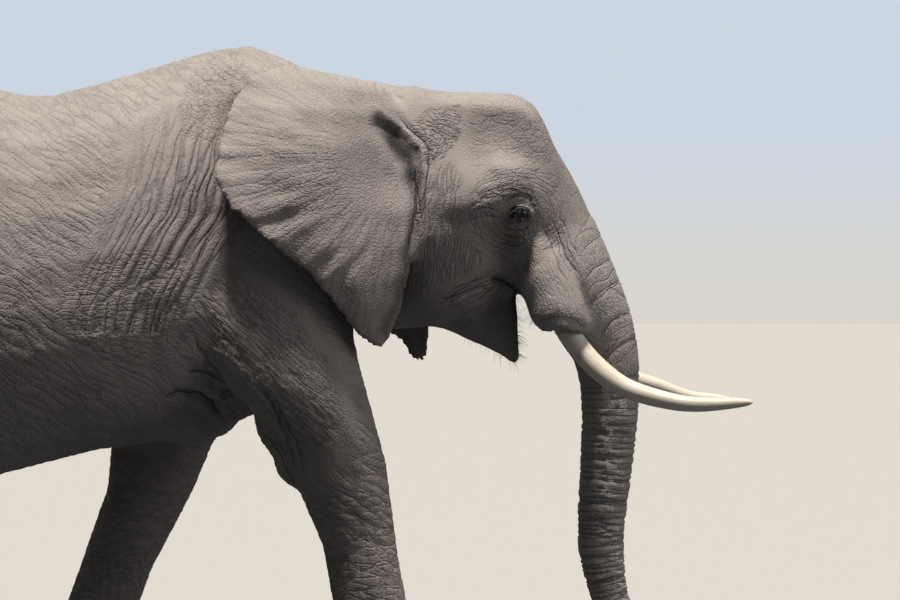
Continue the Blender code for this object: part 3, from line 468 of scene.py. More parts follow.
# name: half width, depth in metres (a ridge where it is negative), flesh it is on, path along and up
folds = {
    "hollow before the ear": (0.028, 0.022, "earFront", (
        (0.430, 2.292), (0.477, 2.239), (0.510, 2.190), (0.534, 2.148), (0.548, 2.100))),
    "ear root ridge": (0.0085, -0.0100, "earFront", (
        (0.419, 2.323), (0.468, 2.284), (0.516, 2.245), (0.558, 2.210), (0.584, 2.178), (0.590, 2.130),
        (0.582, 2.060))),
    "ear to cheek": (0.0110, 0.0130, "earFront", (
        (0.556, 2.130), (0.567, 2.040), (0.567, 1.960), (0.554, 1.880), (0.536, 1.810))),
    "behind the ear root": (0.0060, 0.0060, "head", (
        (0.470, 2.300), (0.520, 2.262), (0.566, 2.226), (0.600, 2.190), (0.608, 2.130), (0.598, 2.040),
        (0.580, 1.900))),
    "upper lid fold": (0.0045, 0.0050, "head", (
        (0.846, 1.990), (0.865, 2.016), (0.897, 2.026), (0.926, 2.016), (0.940, 1.990), (0.936, 1.955))),
    "brow fold": (0.0045, 0.0045, "head", (
        (0.735, 1.996), (0.775, 2.016), (0.823, 2.036), (0.877, 2.042), (0.922, 2.029), (0.946, 2.000),
        (0.950, 1.960), (0.940, 1.922))),
    "brow fold above": (0.0050, 0.0035, "head", (
        (0.742, 2.012), (0.806, 2.042), (0.871, 2.055), (0.929, 2.042), (0.958, 2.003), (0.958, 1.955),
        (0.945, 1.910))),
    "eye corner fold": (0.0040, 0.0035, "head", (
        (0.730, 1.981), (0.768, 2.003), (0.816, 2.022), (0.850, 2.026))),
    "eye corner fold below": (0.0045, 0.0035, "head", ((0.732, 1.968), (0.790, 1.987), (0.838, 1.978))),
    "bag below the eye": (0.0040, 0.0045, "head", (
        (0.838, 1.929), (0.877, 1.913), (0.916, 1.919), (0.935, 1.942))),
    "third bag": (0.0060, 0.0030, "head", ((0.826, 1.874), (0.877, 1.864), (0.929, 1.884))),
    "outer corner": (0.0045, 0.0030, "head", ((0.730, 1.942), (0.787, 1.958), (0.838, 1.955))),
    "bag below that": (0.0045, 0.0040, "head", (
        (0.832, 1.906), (0.877, 1.890), (0.922, 1.900), (0.945, 1.926))),
    "cheek to trunk": (0.022, 0.007, "head", ((0.962, 1.930), (0.930, 1.860), (0.903, 1.790), (0.882, 1.736))),
    "mouth": (0.012, 0.016, "head", ((0.800, 1.756), (0.845, 1.748), (0.880, 1.722), (0.905, 1.690))),
    "cheek fold": (0.0090, 0.0060, "head", ((0.640, 1.690), (0.720, 1.716), (0.806, 1.744))),
    "cheek fold above": (0.0080, 0.0045, "head", ((0.665, 1.722), (0.745, 1.748), (0.800, 1.766))),
    "chin fold": (0.0070, 0.0050, "head", ((0.760, 1.690), (0.795, 1.715), (0.830, 1.740))),
    "trunk side": (0.0045, 0.0040, "trunk", ((0.994, 1.966), (1.032, 1.880), (1.082, 1.762))),
    "trunk side front": (0.0045, 0.0030, "trunk", ((1.022, 1.970), (1.062, 1.890), (1.104, 1.800))),
    "trunk side rear": (0.0045, 0.0030, "trunk", ((0.968, 1.948), (1.006, 1.856), (1.050, 1.750))),
    "first ring": (0.0045, 0.0028, "trunk", ((1.215, 1.830), (1.184, 1.816), (1.136, 1.788), (1.106, 1.748))),
    "ring above": (0.0045, 0.0022, "trunk", ((1.190, 1.905), (1.150, 1.888), (1.100, 1.850))),
    "second ring": (0.0045, 0.0030, "trunk", ((1.250, 1.760), (1.208, 1.745), (1.160, 1.716), (1.120, 1.672))),
    "third ring": (0.0050, 0.0036, "trunk", ((1.285, 1.655), (1.240, 1.646), (1.190, 1.620), (1.150, 1.560))),
    "fourth ring": (0.0050, 0.0036, "trunk", ((1.300, 1.568), (1.250, 1.560), (1.200, 1.530), (1.160, 1.480))),
    "sheath lip": (0.0080, -0.0060, "trunk", (
        (0.955, 1.592), (0.985, 1.604), (1.015, 1.616), (1.064, 1.606), (1.102, 1.578), (1.130, 1.548))),
    "above the lip": (0.0070, 0.0035, "trunk", (
        (0.940, 1.622), (0.985, 1.634), (1.030, 1.640), (1.080, 1.626), (1.125, 1.590))),
    "behind the elbow": (0.0090, 0.0070, "leg", (
        (0.060, 1.450), (0.110, 1.370), (0.155, 1.260), (0.186, 1.140))),
    "behind the elbow inner": (0.0080, 0.0050, "leg", (
        (0.112, 1.410), (0.160, 1.310), (0.200, 1.210), (0.222, 1.120))),
    "elbow flap": (0.0080, 0.0050, "leg", ((0.095, 1.275), (0.140, 1.190), (0.175, 1.120), (0.196, 1.085))),
    "arm to breast": (0.0140, 0.0050, "body", (
        (-0.140, 1.590), (-0.085, 1.500), (-0.035, 1.420), (-0.005, 1.355))),
    "breast fold": (0.0110, 0.0130, "body", (
        (-0.242, 1.375), (-0.177, 1.399), (-0.106, 1.385), (-0.061, 1.345), (-0.040, 1.300))),
    "breast fold below": (0.0160, -0.0180, "body", ((-0.139, 1.437), (-0.081, 1.415), (-0.026, 1.370))),
    "breast fold above": (0.0090, 0.0070, "body", ((-0.165, 1.470), (-0.090, 1.458), (-0.013, 1.392))),
    "neck fold": (0.0120, 0.0090, "body", ((0.010, 2.370), (-0.022, 2.250), (-0.050, 2.120))),
    "thigh to flank": (0.0200, 0.0140, "leg", (
        (-1.020, 1.520), (-1.000, 1.380), (-0.985, 1.260), (-1.000, 1.160))),
    "rump fold": (0.0180, 0.0100, "leg", ((-1.640, 1.900), (-1.700, 1.700), (-1.740, 1.480), (-1.720, 1.280))),
    "rump fold outer": (0.0140, 0.0070, "leg", ((-1.540, 1.820), (-1.590, 1.620), (-1.600, 1.420))),
}


def nearPath(x, z, path):       # distance from the path, signed by its side, and the share of its length passed
    lengths = [math.hypot(x1 - x0, z1 - z0) for (x0, z0), (x1, z1) in zip(path, path[1:])]
    best, passed, sign, run = np.full(len(x), 9.0), np.zeros(len(x)), np.ones(len(x)), 0.0
    for (x0, z0), (x1, z1), length in zip(path, path[1:], lengths):
        t = np.clip(((x - x0) * (x1 - x0) + (z - z0) * (z1 - z0)) / length ** 2, 0, 1)
        away = np.hypot(x - x0 - t * (x1 - x0), z - z0 - t * (z1 - z0))
        nearer = away < best
        best, passed = np.where(nearer, away, best), np.where(nearer, run + t * length, passed)
        sign = np.where(nearer, np.where((x - x0) * (z1 - z0) > (z - z0) * (x1 - x0), 1, -1), sign)
        run += length
    return best * sign, passed / run


folding = {"lineWidth": 0.020, "lineReach": 0.022, "lineDepth": 0.008, "none": 0.05, "steps": 6, "taper": 0.22,
           "facing": (0.10, 0.45), "rim": 0.25, "rimAway": 2.2, "span": 5,
           "shake": 0.0022, "shakeReach": 0.09, "fineShake": 0.0012, "fineReach": 0.035,
           "easeAt": (0.535, 2.190), "easeReach": (0.060, 0.150), "easeTurn": 25, "ease": 0.5, "easeRounds": 4}


def foldAreas(area):        # the fleshes that a fold may run over together
    return dict(area, earFront=np.minimum(area["ear"] + area["head"] + area["body"], 1),
                trunk=np.maximum(area["trunk"], area["head"]), body=np.maximum(area["body"], area["leg"]))


def foldShape(points, normals, area):   # how far each point sinks, and its place beside the nearest fold
    area, plan = foldAreas(area), folding
    facing = ramp(np.abs(normals[:, 1]), *plan["facing"])
    shaky = (plan["shake"] * wander(points, plan["shakeReach"], 11)
             + plan["fineShake"] * wander(points, plan["fineReach"], 12))
    sink, deep = np.zeros(len(points)), np.zeros(len(points))
    side, nearest = np.full(len(points), plan["none"]), np.full(len(points), plan["none"])
    x, z = points[:, 0], points[:, 2]
    for name, (width, depth, flesh, path) in folds.items():
        low, high = np.min(path, axis=0) - plan["span"] * width, np.max(path, axis=0) + plan["span"] * width
        near = np.flatnonzero((x > low[0]) & (x < high[0]) & (z > low[1]) & (z < high[1]))
        signed, passed = nearPath(x[near] + shaky[near], z[near] + shaky[near], smoothTable(path, plan["steps"]))
        away = np.abs(signed)
        taper = ramp(passed, 0.0, plan["taper"]) * ramp(1 - passed, 0.0, plan["taper"])
        rim = np.exp(-((away - plan["rimAway"] * width) / width) ** 2)
        groove = np.exp(-(away / width) ** 2) - plan["rim"] * rim
        over = facing[near] if flesh != "trunk" else np.ones(len(near))
        shown = taper * area[flesh][near] * over * sideShare(name, points[near, 1])
        sink[near] += depth * groove * shown
        if depth > 0 and width < plan["lineWidth"]:
            here = away < nearest[near]
            closer = near[here]
            side[closer], nearest[closer] = signed[here], away[here]
            deep[closer] = (min(depth, plan["lineDepth"]) * shown * np.exp(-(away / plan["lineReach"]) ** 4))[here]
    return sink, side, deep


def foldHide(skin, area):
    mesh = skin.data
    points, normals = readPoints(mesh), readNormals(mesh)
    storeValues(mesh, "foldPlace", points)
    storeValues(mesh, "foldFacing", normals)
    points = points - normals * foldShape(points, normals, area)[0][:, None]
    # eased where ear, cheek and neck meet in a tight hollow
    hollow = mound(points[:, 0], points[:, 2], folding["easeAt"], folding["easeReach"], folding["easeTurn"])
    ease = folding["ease"] * hollow ** 0.5
    writePoints(mesh, eased(readEdges(mesh), points, folding["easeRounds"], (1.0,), ease[:, None]))


# painted shade in the hollows by the ear, eyes and mouth; name: half width, strength of the painted shade, flesh it
# is on, path along and up
paintedShadePlaces = {
    "ear hollow": (0.025, 0.94, "earFront", (
        (0.450, 2.268), (0.492, 2.216), (0.524, 2.168), (0.545, 2.125), (0.555, 2.085))),
    "lids": (0.026, 0.72, "head", ((0.862, 1.958), (0.892, 1.968), (0.922, 1.962))),
    "mouth": (0.020, 0.55, "head", ((0.872, 1.742), (0.898, 1.690), (0.904, 1.640))),
    "under the ear": (0.016, 0.55, "earFront", (
        (0.560, 1.980), (0.553, 1.860), (0.520, 1.720), (0.470, 1.600))),
}


# painted shade: the hide is darkened along each hollow's path, where shade falls
def paintShadeInHollows(points, area):
    area = foldAreas(area)
    dark = np.zeros(len(points))
    for width, amount, flesh, path in paintedShadePlaces.values():
        away, passed = nearPath(points[:, 0], points[:, 2], smoothTable(path, folding["steps"]))
        opening = 0.4 + 0.6 * ramp(passed, 0.0, 0.4)        # fainter where the shade begins
        dark = np.maximum(dark, amount * opening * np.exp(-(away / width) ** 2) * area[flesh])
    return dark


earPlan = {"rootX": 0.52, "rootZ": 2.15, "ripple": 0.0075, "ripples": 24.0, "rippleReach": 0.30, "sway": 1.6,
           "blade": (0.22, 0.48), "rim": (0.30, 0.42), "rimFlat": (0.25, 0.65), "notch": 0.0065,
           "notchReach": 0.028, "bayReach": 0.075, "bay": 0.8, "notchMost": 0.6, "rightWear": 0.4}


def roundEar(x, z):     # the way round the ear's root, and how far out from it
    out, down = earPlan["rootX"] - x, earPlan["rootZ"] - z
    return np.arctan2(down, out), np.hypot(z - earPlan["rootZ"], x - earPlan["rootX"])


def rippleEars(skin, area):     # the blade waves out towards its rim, and the rim is nicked
    mesh = skin.data
    points, normals = readPoints(mesh), readNormals(mesh)
    x, y, z = points.T
    turn, reach = roundEar(x, z)
    plan = earPlan
    wave = (np.sin(turn * plan["ripples"] + plan["sway"] * wander(points, plan["rippleReach"], 21))
            * (0.6 + 0.4 * wander(points, 0.22, 22)))
    points[:, 1] += np.sign(y) * wave * plan["ripple"] * area["ear"] * ramp(reach, *plan["blade"])
    edge = area["ear"] * (1 - ramp(np.abs(normals[:, 1]), *plan["rimFlat"])) * ramp(reach, *plan["rim"])
    flat = points * (1, 0, 1)
    nick = wander(flat, plan["notchReach"], 23) + plan["bay"] * wander(flat, plan["bayReach"], 24)
    worn = np.where(y > 0, plan["notch"], plan["notch"] * plan["rightWear"])
    points += normals * (edge * np.minimum(nick, plan["notchMost"]) * worn)[:, None]
    writePoints(mesh, points)


def refine(skin, finish):       # every face into four, then eased
    tree, start = startTree("finer hide", {"Level": "Int"})
    finer = addNode(tree, "GeometryNodeSubdivideMesh", {"Mesh": start, "Level": start.outputs["Level"]})
    endTree(tree, start, finer)
    mesh = runTree(skin, tree, {"Level": 1, "Finish": finish}).data
    points = eased(readEdges(mesh), readPoints(mesh), skinPlan["finishRounds"], (0.5, -0.5))
    points[:, 2] = np.maximum(points[:, 2], skinPlan["refinedSole"])
    writePoints(mesh, points)


# where the creases run: each kind of wrinkle has its own measure across and along
trunkLine = ((0.796, 2.181), (0.866, 2.095), (0.926, 2.005), (0.979, 1.926), (1.047, 1.798), (1.105, 1.687),
             (1.157, 1.593), (1.187, 1.488), (1.195, 1.354), (1.186, 1.194), (1.171, 1.035), (1.164, 0.920),
             (1.178, 0.798), (1.209, 0.675), (1.259, 0.558), (1.329, 0.464), (1.416, 0.407), (1.493, 0.392))
trunkHalf = ((0.0, 0.18), (0.31, 0.17), (0.58, 0.13), (0.79, 0.10), (1.36, 0.072), (1.99, 0.045))
ringSpacing = ((0.0, 0.140), (0.58, 0.120), (0.72, 0.060), (0.86, 0.030), (1.00, 0.020), (1.50, 0.018),
               (2.10, 0.015))
ringDepths = ((0.1, 0.0008), (0.35, 0.0014), (0.70, 0.0024), (0.95, 0.0034), (1.3, 0.0040), (2.0, 0.0042))
ringWidths = ((0.2, 0.034), (0.70, 0.045), (0.88, 0.09), (1.0, 0.12))
templeEdge = ((2.032, 0.613), (2.122, 0.653), (2.160, 0.690), (2.217, 0.724), (2.280, 0.726), (2.345, 0.719))
foldLine = ((1.561, -0.339), (1.684, -0.316), (1.803, -0.258), (1.965, -0.161), (2.126, -0.123), (2.335, -0.081))
eyeX, eyeZ = eyeCentre(-1).x - withersX, eyeCentre(-1).z


def alongPath(x, z, path):      # how far down the path a point is, and how far in front of it
    best = np.full(len(x), 9.0)
    down, front = np.zeros(len(x)), np.zeros(len(x))
    run = 0.0
    for (x0, z0), (x1, z1) in zip(path, path[1:]):
        length = math.hypot(x1 - x0, z1 - z0)
        ux, uz = (x1 - x0) / length, (z1 - z0) / length
        t = (x - x0) * ux + (z - z0) * uz
        t = np.clip(t, 0, length)
        dx, dz = x - x0 - t * ux, z - z0 - t * uz
        away = np.hypot(dx, dz)
        nearer = away < best
        best = np.where(nearer, away, best)
        down = np.where(nearer, run + t, down)
        front = np.where(nearer, np.sign(dz * ux - dx * uz) * away, front)
        run += length
    return down, front


def creaseKinds(points, normals, area):
    x, y, z = points.T
    side = ramp(np.abs(normals[:, 1]), 0.2, 0.5)
    ear, leg, tail = area["ear"], area["leg"], area["tail"]
    body = np.maximum(area["body"], leg) * (1 - ear)
    face = area["head"] * (1 - ear)

    def oval(flesh, at, reach, turn=0):     # a region of one flesh, where it faces sideways
        return flesh * mound(x, z, at, reach, turn) ** 0.5 * side

    def sway(size, reach, seed):
        return size * wander(points, reach, seed)

    # the trunk: rings counted down its length, lagging towards the back
    down, front = alongPath(x, z, trunkLine)
    back = np.clip(np.interp(down, *np.array(trunkHalf).T) - front, 0, 0.4)
    lag = 0.20 * back * (1 - ramp(down, 0.75, 0.95))
    steps = np.linspace(0, 2.3, 400)
    counted = np.concatenate(([0], np.cumsum(np.diff(steps) / np.interp(steps[1:], *np.array(ringSpacing).T))))
    ring = np.interp(np.clip(down - lag, 0, 2.3), steps, counted)
    trunk = np.maximum(area["trunk"], face * ramp(front, 0.0, 0.08)) * (1 - ear) * ramp(down, 0.10, 0.28)
    lit = ramp(back, 0.02, 0.20)
    ringDepth = np.interp(down, *np.array(ringDepths).T) * (1 - 0.85 * lit * (1 - ramp(down, 0.70, 0.90)))
    ringWidth = np.interp(down, *np.array(ringWidths).T)
    # the shoulder: long folds beside a line down from the withers
    u = x - np.interp(z, *np.array(foldLine).T)
    shoulder = body * np.exp(-(u / 0.25) ** 4) * side * ramp(z, 1.50, 1.66) * (1 - ramp(z, 2.22, 2.44))
    shoulderDepth = 0.0040 * np.exp(-(u / 0.22) ** 2) * (1 - 0.6 * ramp(z, 2.05, 2.35))
    strip = mound(x, z, (-0.030, 1.520), (0.30, 0.08), -62)
    foreArea = oval(body, (0.05, 1.50), (0.34, 0.18), -50)
    # the temple: brick-like rows up to the edge of its patch
    border = np.interp(z, *np.array(templeEdge).T)
    patch = (face * side * ramp(border - x, -0.006, 0.022) * ramp(z, 2.04, 2.14) * (1 - ramp(z, 2.22, 2.40))
             * ramp(x, 0.46, 0.64))
    wrung = 1 - ramp(z, 2.14, 2.24)
    around = np.hypot((x - eyeX) / 1.25, z - eyeZ)
    roundEye = face * ramp(around, 0.050, 0.070) * (1 - ramp(around, 0.12, 0.19)) * side
    turn, reach = roundEar(x, z)
    earDepth = 0.0009 + 0.0008 * mound(x, z, (0.22, 2.06), (0.14, 0.12))
    return [    # layer, where, three measures of its cells, depth, width of the line as a share of the cell
        ("crease", shoulder, (u + sway(0.004, 0.16, 35)) / 0.0270, z / 0.34, y / 0.34, shoulderDepth, 0.17),
        ("crease", foreArea, (0.67 * x + 0.74 * z) / 0.0135, (0.74 * x - 0.67 * z) / 0.10, y / 0.10,
         0.0017 + 0.0006 * strip, 0.18),
        ("cross", foreArea, (0.67 * x + 0.74 * z) / 0.06, (0.90 * x - 0.43 * z) / 0.0150, y / 0.08,
         0.0011 + 0.0006 * strip, 0.16),
        ("cross", oval(body, (-0.27, 1.66), (0.26, 0.18)), x / 0.044, z / 0.016, y / 0.05, 0.0020, 0.16),
        ("cross", body * mound(x, z, (-0.07, 2.34), (0.15, 0.10), 65) ** 0.5, x / 0.020, z / 0.017, y / 0.02,
         0.0018, 0.16),
        ("crease", 0.9 * patch, (z + 0.22 * x + sway(0.004, 0.07, 33)) / 0.0120, (border - x) / 0.036, y / 0.036,
         0.0032 * (1 - 0.6 * wrung) * patch, 0.18),
        ("cross", 0.9 * patch, (border - x + sway(0.003, 0.06, 34)) / 0.0135, z / 0.040, y / 0.03,
         (0.0022 + 0.0014 * wrung) * patch, 0.17),
        ("crease", roundEye, around / 0.0130, x / 0.06, z / 0.06, 0.0020, 0.16),
        ("crease", oval(face, (0.63, 1.88), (0.24, 0.11), -80), (x - 0.17 * z + sway(0.004, 0.12, 31)) / 0.0120,
         z / 0.110, y / 0.110, 0.0026, 0.18),
        ("cross", oval(face, (0.63, 1.90), (0.24, 0.11), -80), z / 0.0140, (x - 0.17 * z) / 0.030, y / 0.03,
         0.0006, 0.16),
        ("crease", oval(face, (1.01, 1.72), (0.18, 0.08), -65),
         (0.91 * x + 0.42 * z + sway(0.003, 0.10, 37)) / 0.0125, (0.42 * x - 0.91 * z) / 0.09, y / 0.09,
         0.0020, 0.17),
        ("crease", oval(face, (0.72, 1.71), (0.13, 0.06), 8), (0.92 * z - 0.38 * x) / 0.017,
         (0.92 * x + 0.38 * z) / 0.08, y / 0.08, 0.0024, 0.16),
        ("crease", trunk, ring, y / 0.80, front / 0.80, ringDepth, ringWidth),
        ("cross", trunk * (1 - ramp(down, 0.80, 0.95)), (front + 0.10 * down) / 0.0115, y / 0.0115, down / 0.060,
         0.0013, 0.17),
        ("cross", trunk * ramp(down, 0.90, 1.0), ring / 2.6, y / 0.020, front / 0.020, 0.0012, 0.13),
        ("crease", ear * ramp(reach, 0.16, 0.34), turn * 0.42 / 0.030, reach / 0.26, y / 0.6, 0.0011, 0.15),
        ("cross", ear * 0.6, x / 0.017, z / 0.013, y / 0.05, earDepth, 0.20),
        ("cross", leg * (1 - ramp(z, 0.95, 1.25)), z / 0.024, x / 0.075, y / 0.075, 0.0020, 0.17),
        ("crease", leg * (1 - ramp(z, 0.75, 1.05)) * ramp(z, 0.10, 0.20), x / 0.030, y / 0.030, z / 0.10,
         0.0016, 0.16),
        ("crease", body * 0.5, (0.56 * x + 0.83 * z + sway(0.006, 0.20, 36)) / 0.0250, (0.83 * x - 0.56 * z) / 0.17,
         y / 0.17, 0.0014, 0.15),
        ("cross", body * 0.5, (0.83 * x - 0.56 * z) / 0.0160, (0.56 * x + 0.83 * z) / 0.026, y / 0.03, 0.0010, 0.16),
        ("crease", face * 0.35, z / 0.026, x / 0.07, y / 0.05, 0.0010, 0.15),
        ("cross", face * 0.35, x / 0.014, z / 0.016, y / 0.018, 0.0010, 0.17),
        ("crease", tail, z / 0.022, x / 0.06, y / 0.06, 0.0020, 0.17),
    ]


creaseLayers = ("crease", "cross")
creasePlan = {"solid": {"crease": 1.0, "cross": 0.45}, "faceFlat": 0.6, "wobble": 0.13, "wobbleReach": 0.20,
              "apart": 7.3, "thinnest": 0.02, "puff": 0.40}
creaseCell = {"Scale": 1.0, "Randomness": 0.9}      # the same in the mesh and in the finish


def layCreases(mesh, points, normals, area):
    count, edges = len(points), readEdges(mesh)
    best, second, depth, width = ({layer: np.zeros(count) for layer in creaseLayers} for _ in range(4))
    cell = {layer: np.zeros((count, 3)) for layer in creaseLayers}
    kind = {layer: np.zeros(count, int) for layer in creaseLayers}
    drift = np.column_stack([wander(points, creasePlan["wobbleReach"], seed) for seed in (3, 4, 5)])
    for number, row in enumerate(creaseKinds(points, normals, area)):
        layer, where, across, along, other, deep, line = row
        better = where > best[layer]
        second[layer] = np.where(better, best[layer], np.maximum(second[layer], where))
        best[layer] = np.where(better, where, best[layer])
        cell[layer][better] = np.column_stack((across, along, other))[better] + creasePlan["apart"] * number
        depth[layer] = np.where(better, deep, depth[layer])
        width[layer] = np.where(better, line, width[layer])
        kind[layer][better] = number
    for layer in creaseLayers:
        fade = depth[layer] * ramp(best[layer] - second[layer], 0.0, 0.12) * ramp(best[layer], 0.0, 0.30)
        between = kind[layer][edges[:, 0]] != kind[layer][edges[:, 1]]
        fade[edges[between].ravel()] = 0.0       # nothing is read across the edge between two kinds
        storeValues(mesh, layer + "Cell", cell[layer] + creasePlan["wobble"] * drift)
        storeValues(mesh, layer + "Depth", fade)
        storeValues(mesh, layer + "Width", np.maximum(width[layer], creasePlan["thinnest"]))
        share = creasePlan["solid"][layer] * (1 - creasePlan["faceFlat"] * area["head"])
        storeValues(mesh, layer + "Lift", fade * share)


def creaseTree():       # moves the hide in along the edges of the crease cells
    tree, start = startTree("hide creases", {"Puff": "Float"})
    lifts = []
    for layer in creaseLayers:
        cells, deep, wide = (
            addNode(tree, "GeometryNodeInputNamedAttribute", {"Name": layer + part}, data_type=kind)
            for part, kind in (("Cell", "FLOAT_VECTOR"), ("Lift", "FLOAT"), ("Width", "FLOAT")))
        edge = addNode(tree, "ShaderNodeTexVoronoi", {"Vector": cells, **creaseCell}, **toEdge)
        line = addNode(tree, "ShaderNodeMapRange", {0: edge, 1: 0.0, 2: wide, 3: -1.0, 4: 0.0}, **smoothStep)
        swell = addNode(tree, "ShaderNodeMapRange", {0: edge, 1: 0.0, 2: 0.5, 3: 0.0, 4: start.outputs["Puff"]},
                        **smoothStep)
        both = addNode(tree, "ShaderNodeMath", {0: line, 1: swell}, operation="ADD")
        lifts.append(addNode(tree, "ShaderNodeMath", {0: both, 1: deep}, operation="MULTIPLY"))
    total = addNode(tree, "ShaderNodeMath", {0: lifts[0], 1: lifts[1]}, operation="ADD")
    normal = addNode(tree, "GeometryNodeInputNormal")
    offset = addNode(tree, "ShaderNodeVectorMath", {0: normal, "Scale": total.outputs[0]}, operation="SCALE")
    moved = addNode(tree, "GeometryNodeSetPosition", {"Geometry": start.outputs["Hide"], "Offset": offset})
    endTree(tree, start, moved)
    return tree


# elephant hide: thick grey keratin, cracked finely all over; dull, paler on what faces up, with painted shade in the
# cracks, creases and hollows (the cracks partly their own dust-free colour) and painted light over the trunk
# the dark tone is painted shade in the creases and cracks, partly their own dust-free colour; the near-black tone is
# painted shade in the hollows by the ear, eyes and mouth; the last pale tone pales what faces up and is painted light
# all over the trunk
hidePlan = {"pale": "#918882", "middle": "#79716b", "dark": "#322e2b", "paintedShadeTone": "#171514", "upAndTrunkPale": "#a79f98",
            "grainSize": 0.0105, "grainDepth": 0.0011, "crackWidth": 0.22, "bend": 0.02, "bendScale": 22.0,
            "patchScale": 5.0, "fineSize": 0.0042, "fineDepth": 0.0005, "foldLine": 0.0042, "solidShare": 0.80,
            "driftScale": 2.2, "upFacingPale": 0.55, "trunkPaintedLight": 0.55, "darkPerMetre": 190.0, "darkest": 0.62,
            "roughness": 0.78, "gloss": 0.35}


def hideMaterial():
    made, tree, shader = newMaterial("elephant hide")
    place = addNode(tree, "ShaderNodeTexCoord").outputs["Object"]
    kept = ("creaseWidth", "creaseDepth", "crossWidth", "crossDepth", "foldSide", "foldDeep", "trunkArea", "paintedShade")
    read = {name: addNode(tree, "ShaderNodeAttribute", attribute_name=name).outputs["Fac"] for name in kept}
    sunk = None     # depth in metres: creases and folds, then the fine cracking, then the grain
    for layer in creaseLayers:
        cells = addNode(tree, "ShaderNodeAttribute", attribute_name=layer + "Cell")
        edge = addNode(tree, "ShaderNodeTexVoronoi", {"Vector": cells.outputs["Vector"], **creaseCell}, **toEdge)
        line = addNode(tree, "ShaderNodeMapRange", {0: edge, 1: 0.0, 2: read[layer + "Width"], 3: 1.0, 4: 0.0},
                       **smoothStep)
        scaled = addNode(tree, "ShaderNodeMath", {0: line, 1: read[layer + "Depth"]}, operation="MULTIPLY")
        sunk = addNode(tree, "ShaderNodeMath", {0: sunk, 1: scaled}, operation="ADD") if sunk else scaled
    beside = addNode(tree, "ShaderNodeMath", {0: read["foldSide"]}, operation="ABSOLUTE")
    beside = addNode(tree, "ShaderNodeMapRange", {0: beside, 1: 0.0, 2: hidePlan["foldLine"], 3: 1.0, 4: 0.0},
                     **smoothStep)
    folded = addNode(tree, "ShaderNodeMath", {0: beside, 1: read["foldDeep"]}, operation="MULTIPLY")
    sunk = addNode(tree, "ShaderNodeMath", {0: sunk, 1: folded}, operation="ADD")
    sunk = addNode(tree, "ShaderNodeMath", {0: sunk, 1: hidePlan["solidShare"]}, operation="MULTIPLY")
    drifting = addNode(tree, "ShaderNodeTexNoise", {"Vector": place, "Scale": hidePlan["bendScale"], "Detail": 3.0})
    shift = addNode(tree, "ShaderNodeVectorMath", {0: drifting.outputs["Color"], "Scale": hidePlan["bend"]},
                    operation="SCALE")
    bent = addNode(tree, "ShaderNodeVectorMath", {0: place, 1: shift}, operation="ADD")
    grain = addNode(tree, "ShaderNodeTexVoronoi", {"Vector": bent, "Scale": 1 / hidePlan["grainSize"]}, **toEdge)
    crack = addNode(tree, "ShaderNodeMapRange", {0: grain, 1: 0.0, 2: hidePlan["crackWidth"], 3: 1.0, 4: 0.0},
                    **smoothStep)
    patchy = addNode(tree, "ShaderNodeTexNoise", {"Vector": place, "Scale": hidePlan["patchScale"], "Detail": 4.0})
    patch = addNode(tree, "ShaderNodeMapRange", {0: patchy, 1: 0.35, 2: 0.65, 3: 0.25, 4: 1.0})
    cracked = addNode(tree, "ShaderNodeMath", {0: crack, 1: patch}, operation="MULTIPLY")
    sunk = addNode(tree, "ShaderNodeMath", {0: cracked, 1: hidePlan["grainDepth"], 2: sunk},
                   operation="MULTIPLY_ADD")
    fine = addNode(tree, "ShaderNodeTexNoise", {"Vector": place, "Scale": 1 / hidePlan["fineSize"], "Detail": 3.0})
    raised = addNode(tree, "ShaderNodeMath", {0: fine, 1: hidePlan["fineDepth"]}, operation="MULTIPLY")
    height = addNode(tree, "ShaderNodeMath", {0: raised, 1: sunk}, operation="SUBTRACT")
    bump = addNode(tree, "ShaderNodeBump", {"Height": height, "Distance": 1.0, "Strength": 1.0})

    # colour: broad drift, paler on what faces up, painted light all over the trunk, painted shade in the cracks and
    # creases (partly their own dust-free colour) and in the hollows by the ear, eyes and mouth
    broad = addNode(tree, "ShaderNodeTexNoise", {"Vector": place, "Scale": hidePlan["driftScale"], "Detail": 5.0,
                                                 "Roughness": 0.6})
    facing = addNode(tree, "ShaderNodeNewGeometry")
    upward = addNode(tree, "ShaderNodeSeparateXYZ", {0: facing.outputs["Normal"]})
    # paler where the surface faces up
    above = addNode(tree, "ShaderNodeMapRange", {0: upward.outputs["Z"], 1: 0.1, 2: 0.9, 3: 0.0,
                                                 4: hidePlan["upFacingPale"]})
    # painted light: the whole trunk is paled, as if lit all round
    snout = addNode(tree, "ShaderNodeMath", {0: read["trunkArea"], 1: hidePlan["trunkPaintedLight"]}, operation="MULTIPLY")
    paleUpAndTrunk = addNode(tree, "ShaderNodeMath", {0: above, 1: snout}, operation="MAXIMUM")
    # painted shade in the creases and cracks, darker the deeper they sink, partly their own dust-free colour
    dark = addNode(tree, "ShaderNodeMath", {0: sunk, 1: hidePlan["darkPerMetre"]}, operation="MULTIPLY",
                   use_clamp=True)
    dark = addNode(tree, "ShaderNodeMath", {0: dark, 1: hidePlan["darkest"]}, operation="MULTIPLY")
    drift = addNode(tree, "ShaderNodeMapRange", {0: broad, 1: 0.3, 2: 0.7, 3: 0.0, 4: 1.0})
    colour = linear(hidePlan["middle"])
    # random drift, then paleness up top with painted light on the trunk, then painted shade in the cracks, then
    # painted shade in the hollows
    for share, name in ((drift, "pale"), (paleUpAndTrunk, "upAndTrunkPale"), (dark, "dark"), (read["paintedShade"], "paintedShadeTone")):
        mixed = addNode(tree, "ShaderNodeMix", {0: share, 6: colour, 7: linear(hidePlan[name])}, **mixColours)
        colour = mixed.outputs[2]
    setInputs(tree, shader, {"Base Color": colour, "Normal": bump, "Roughness": hidePlan["roughness"],
                             "Specular IOR Level": hidePlan["gloss"]})
    return made


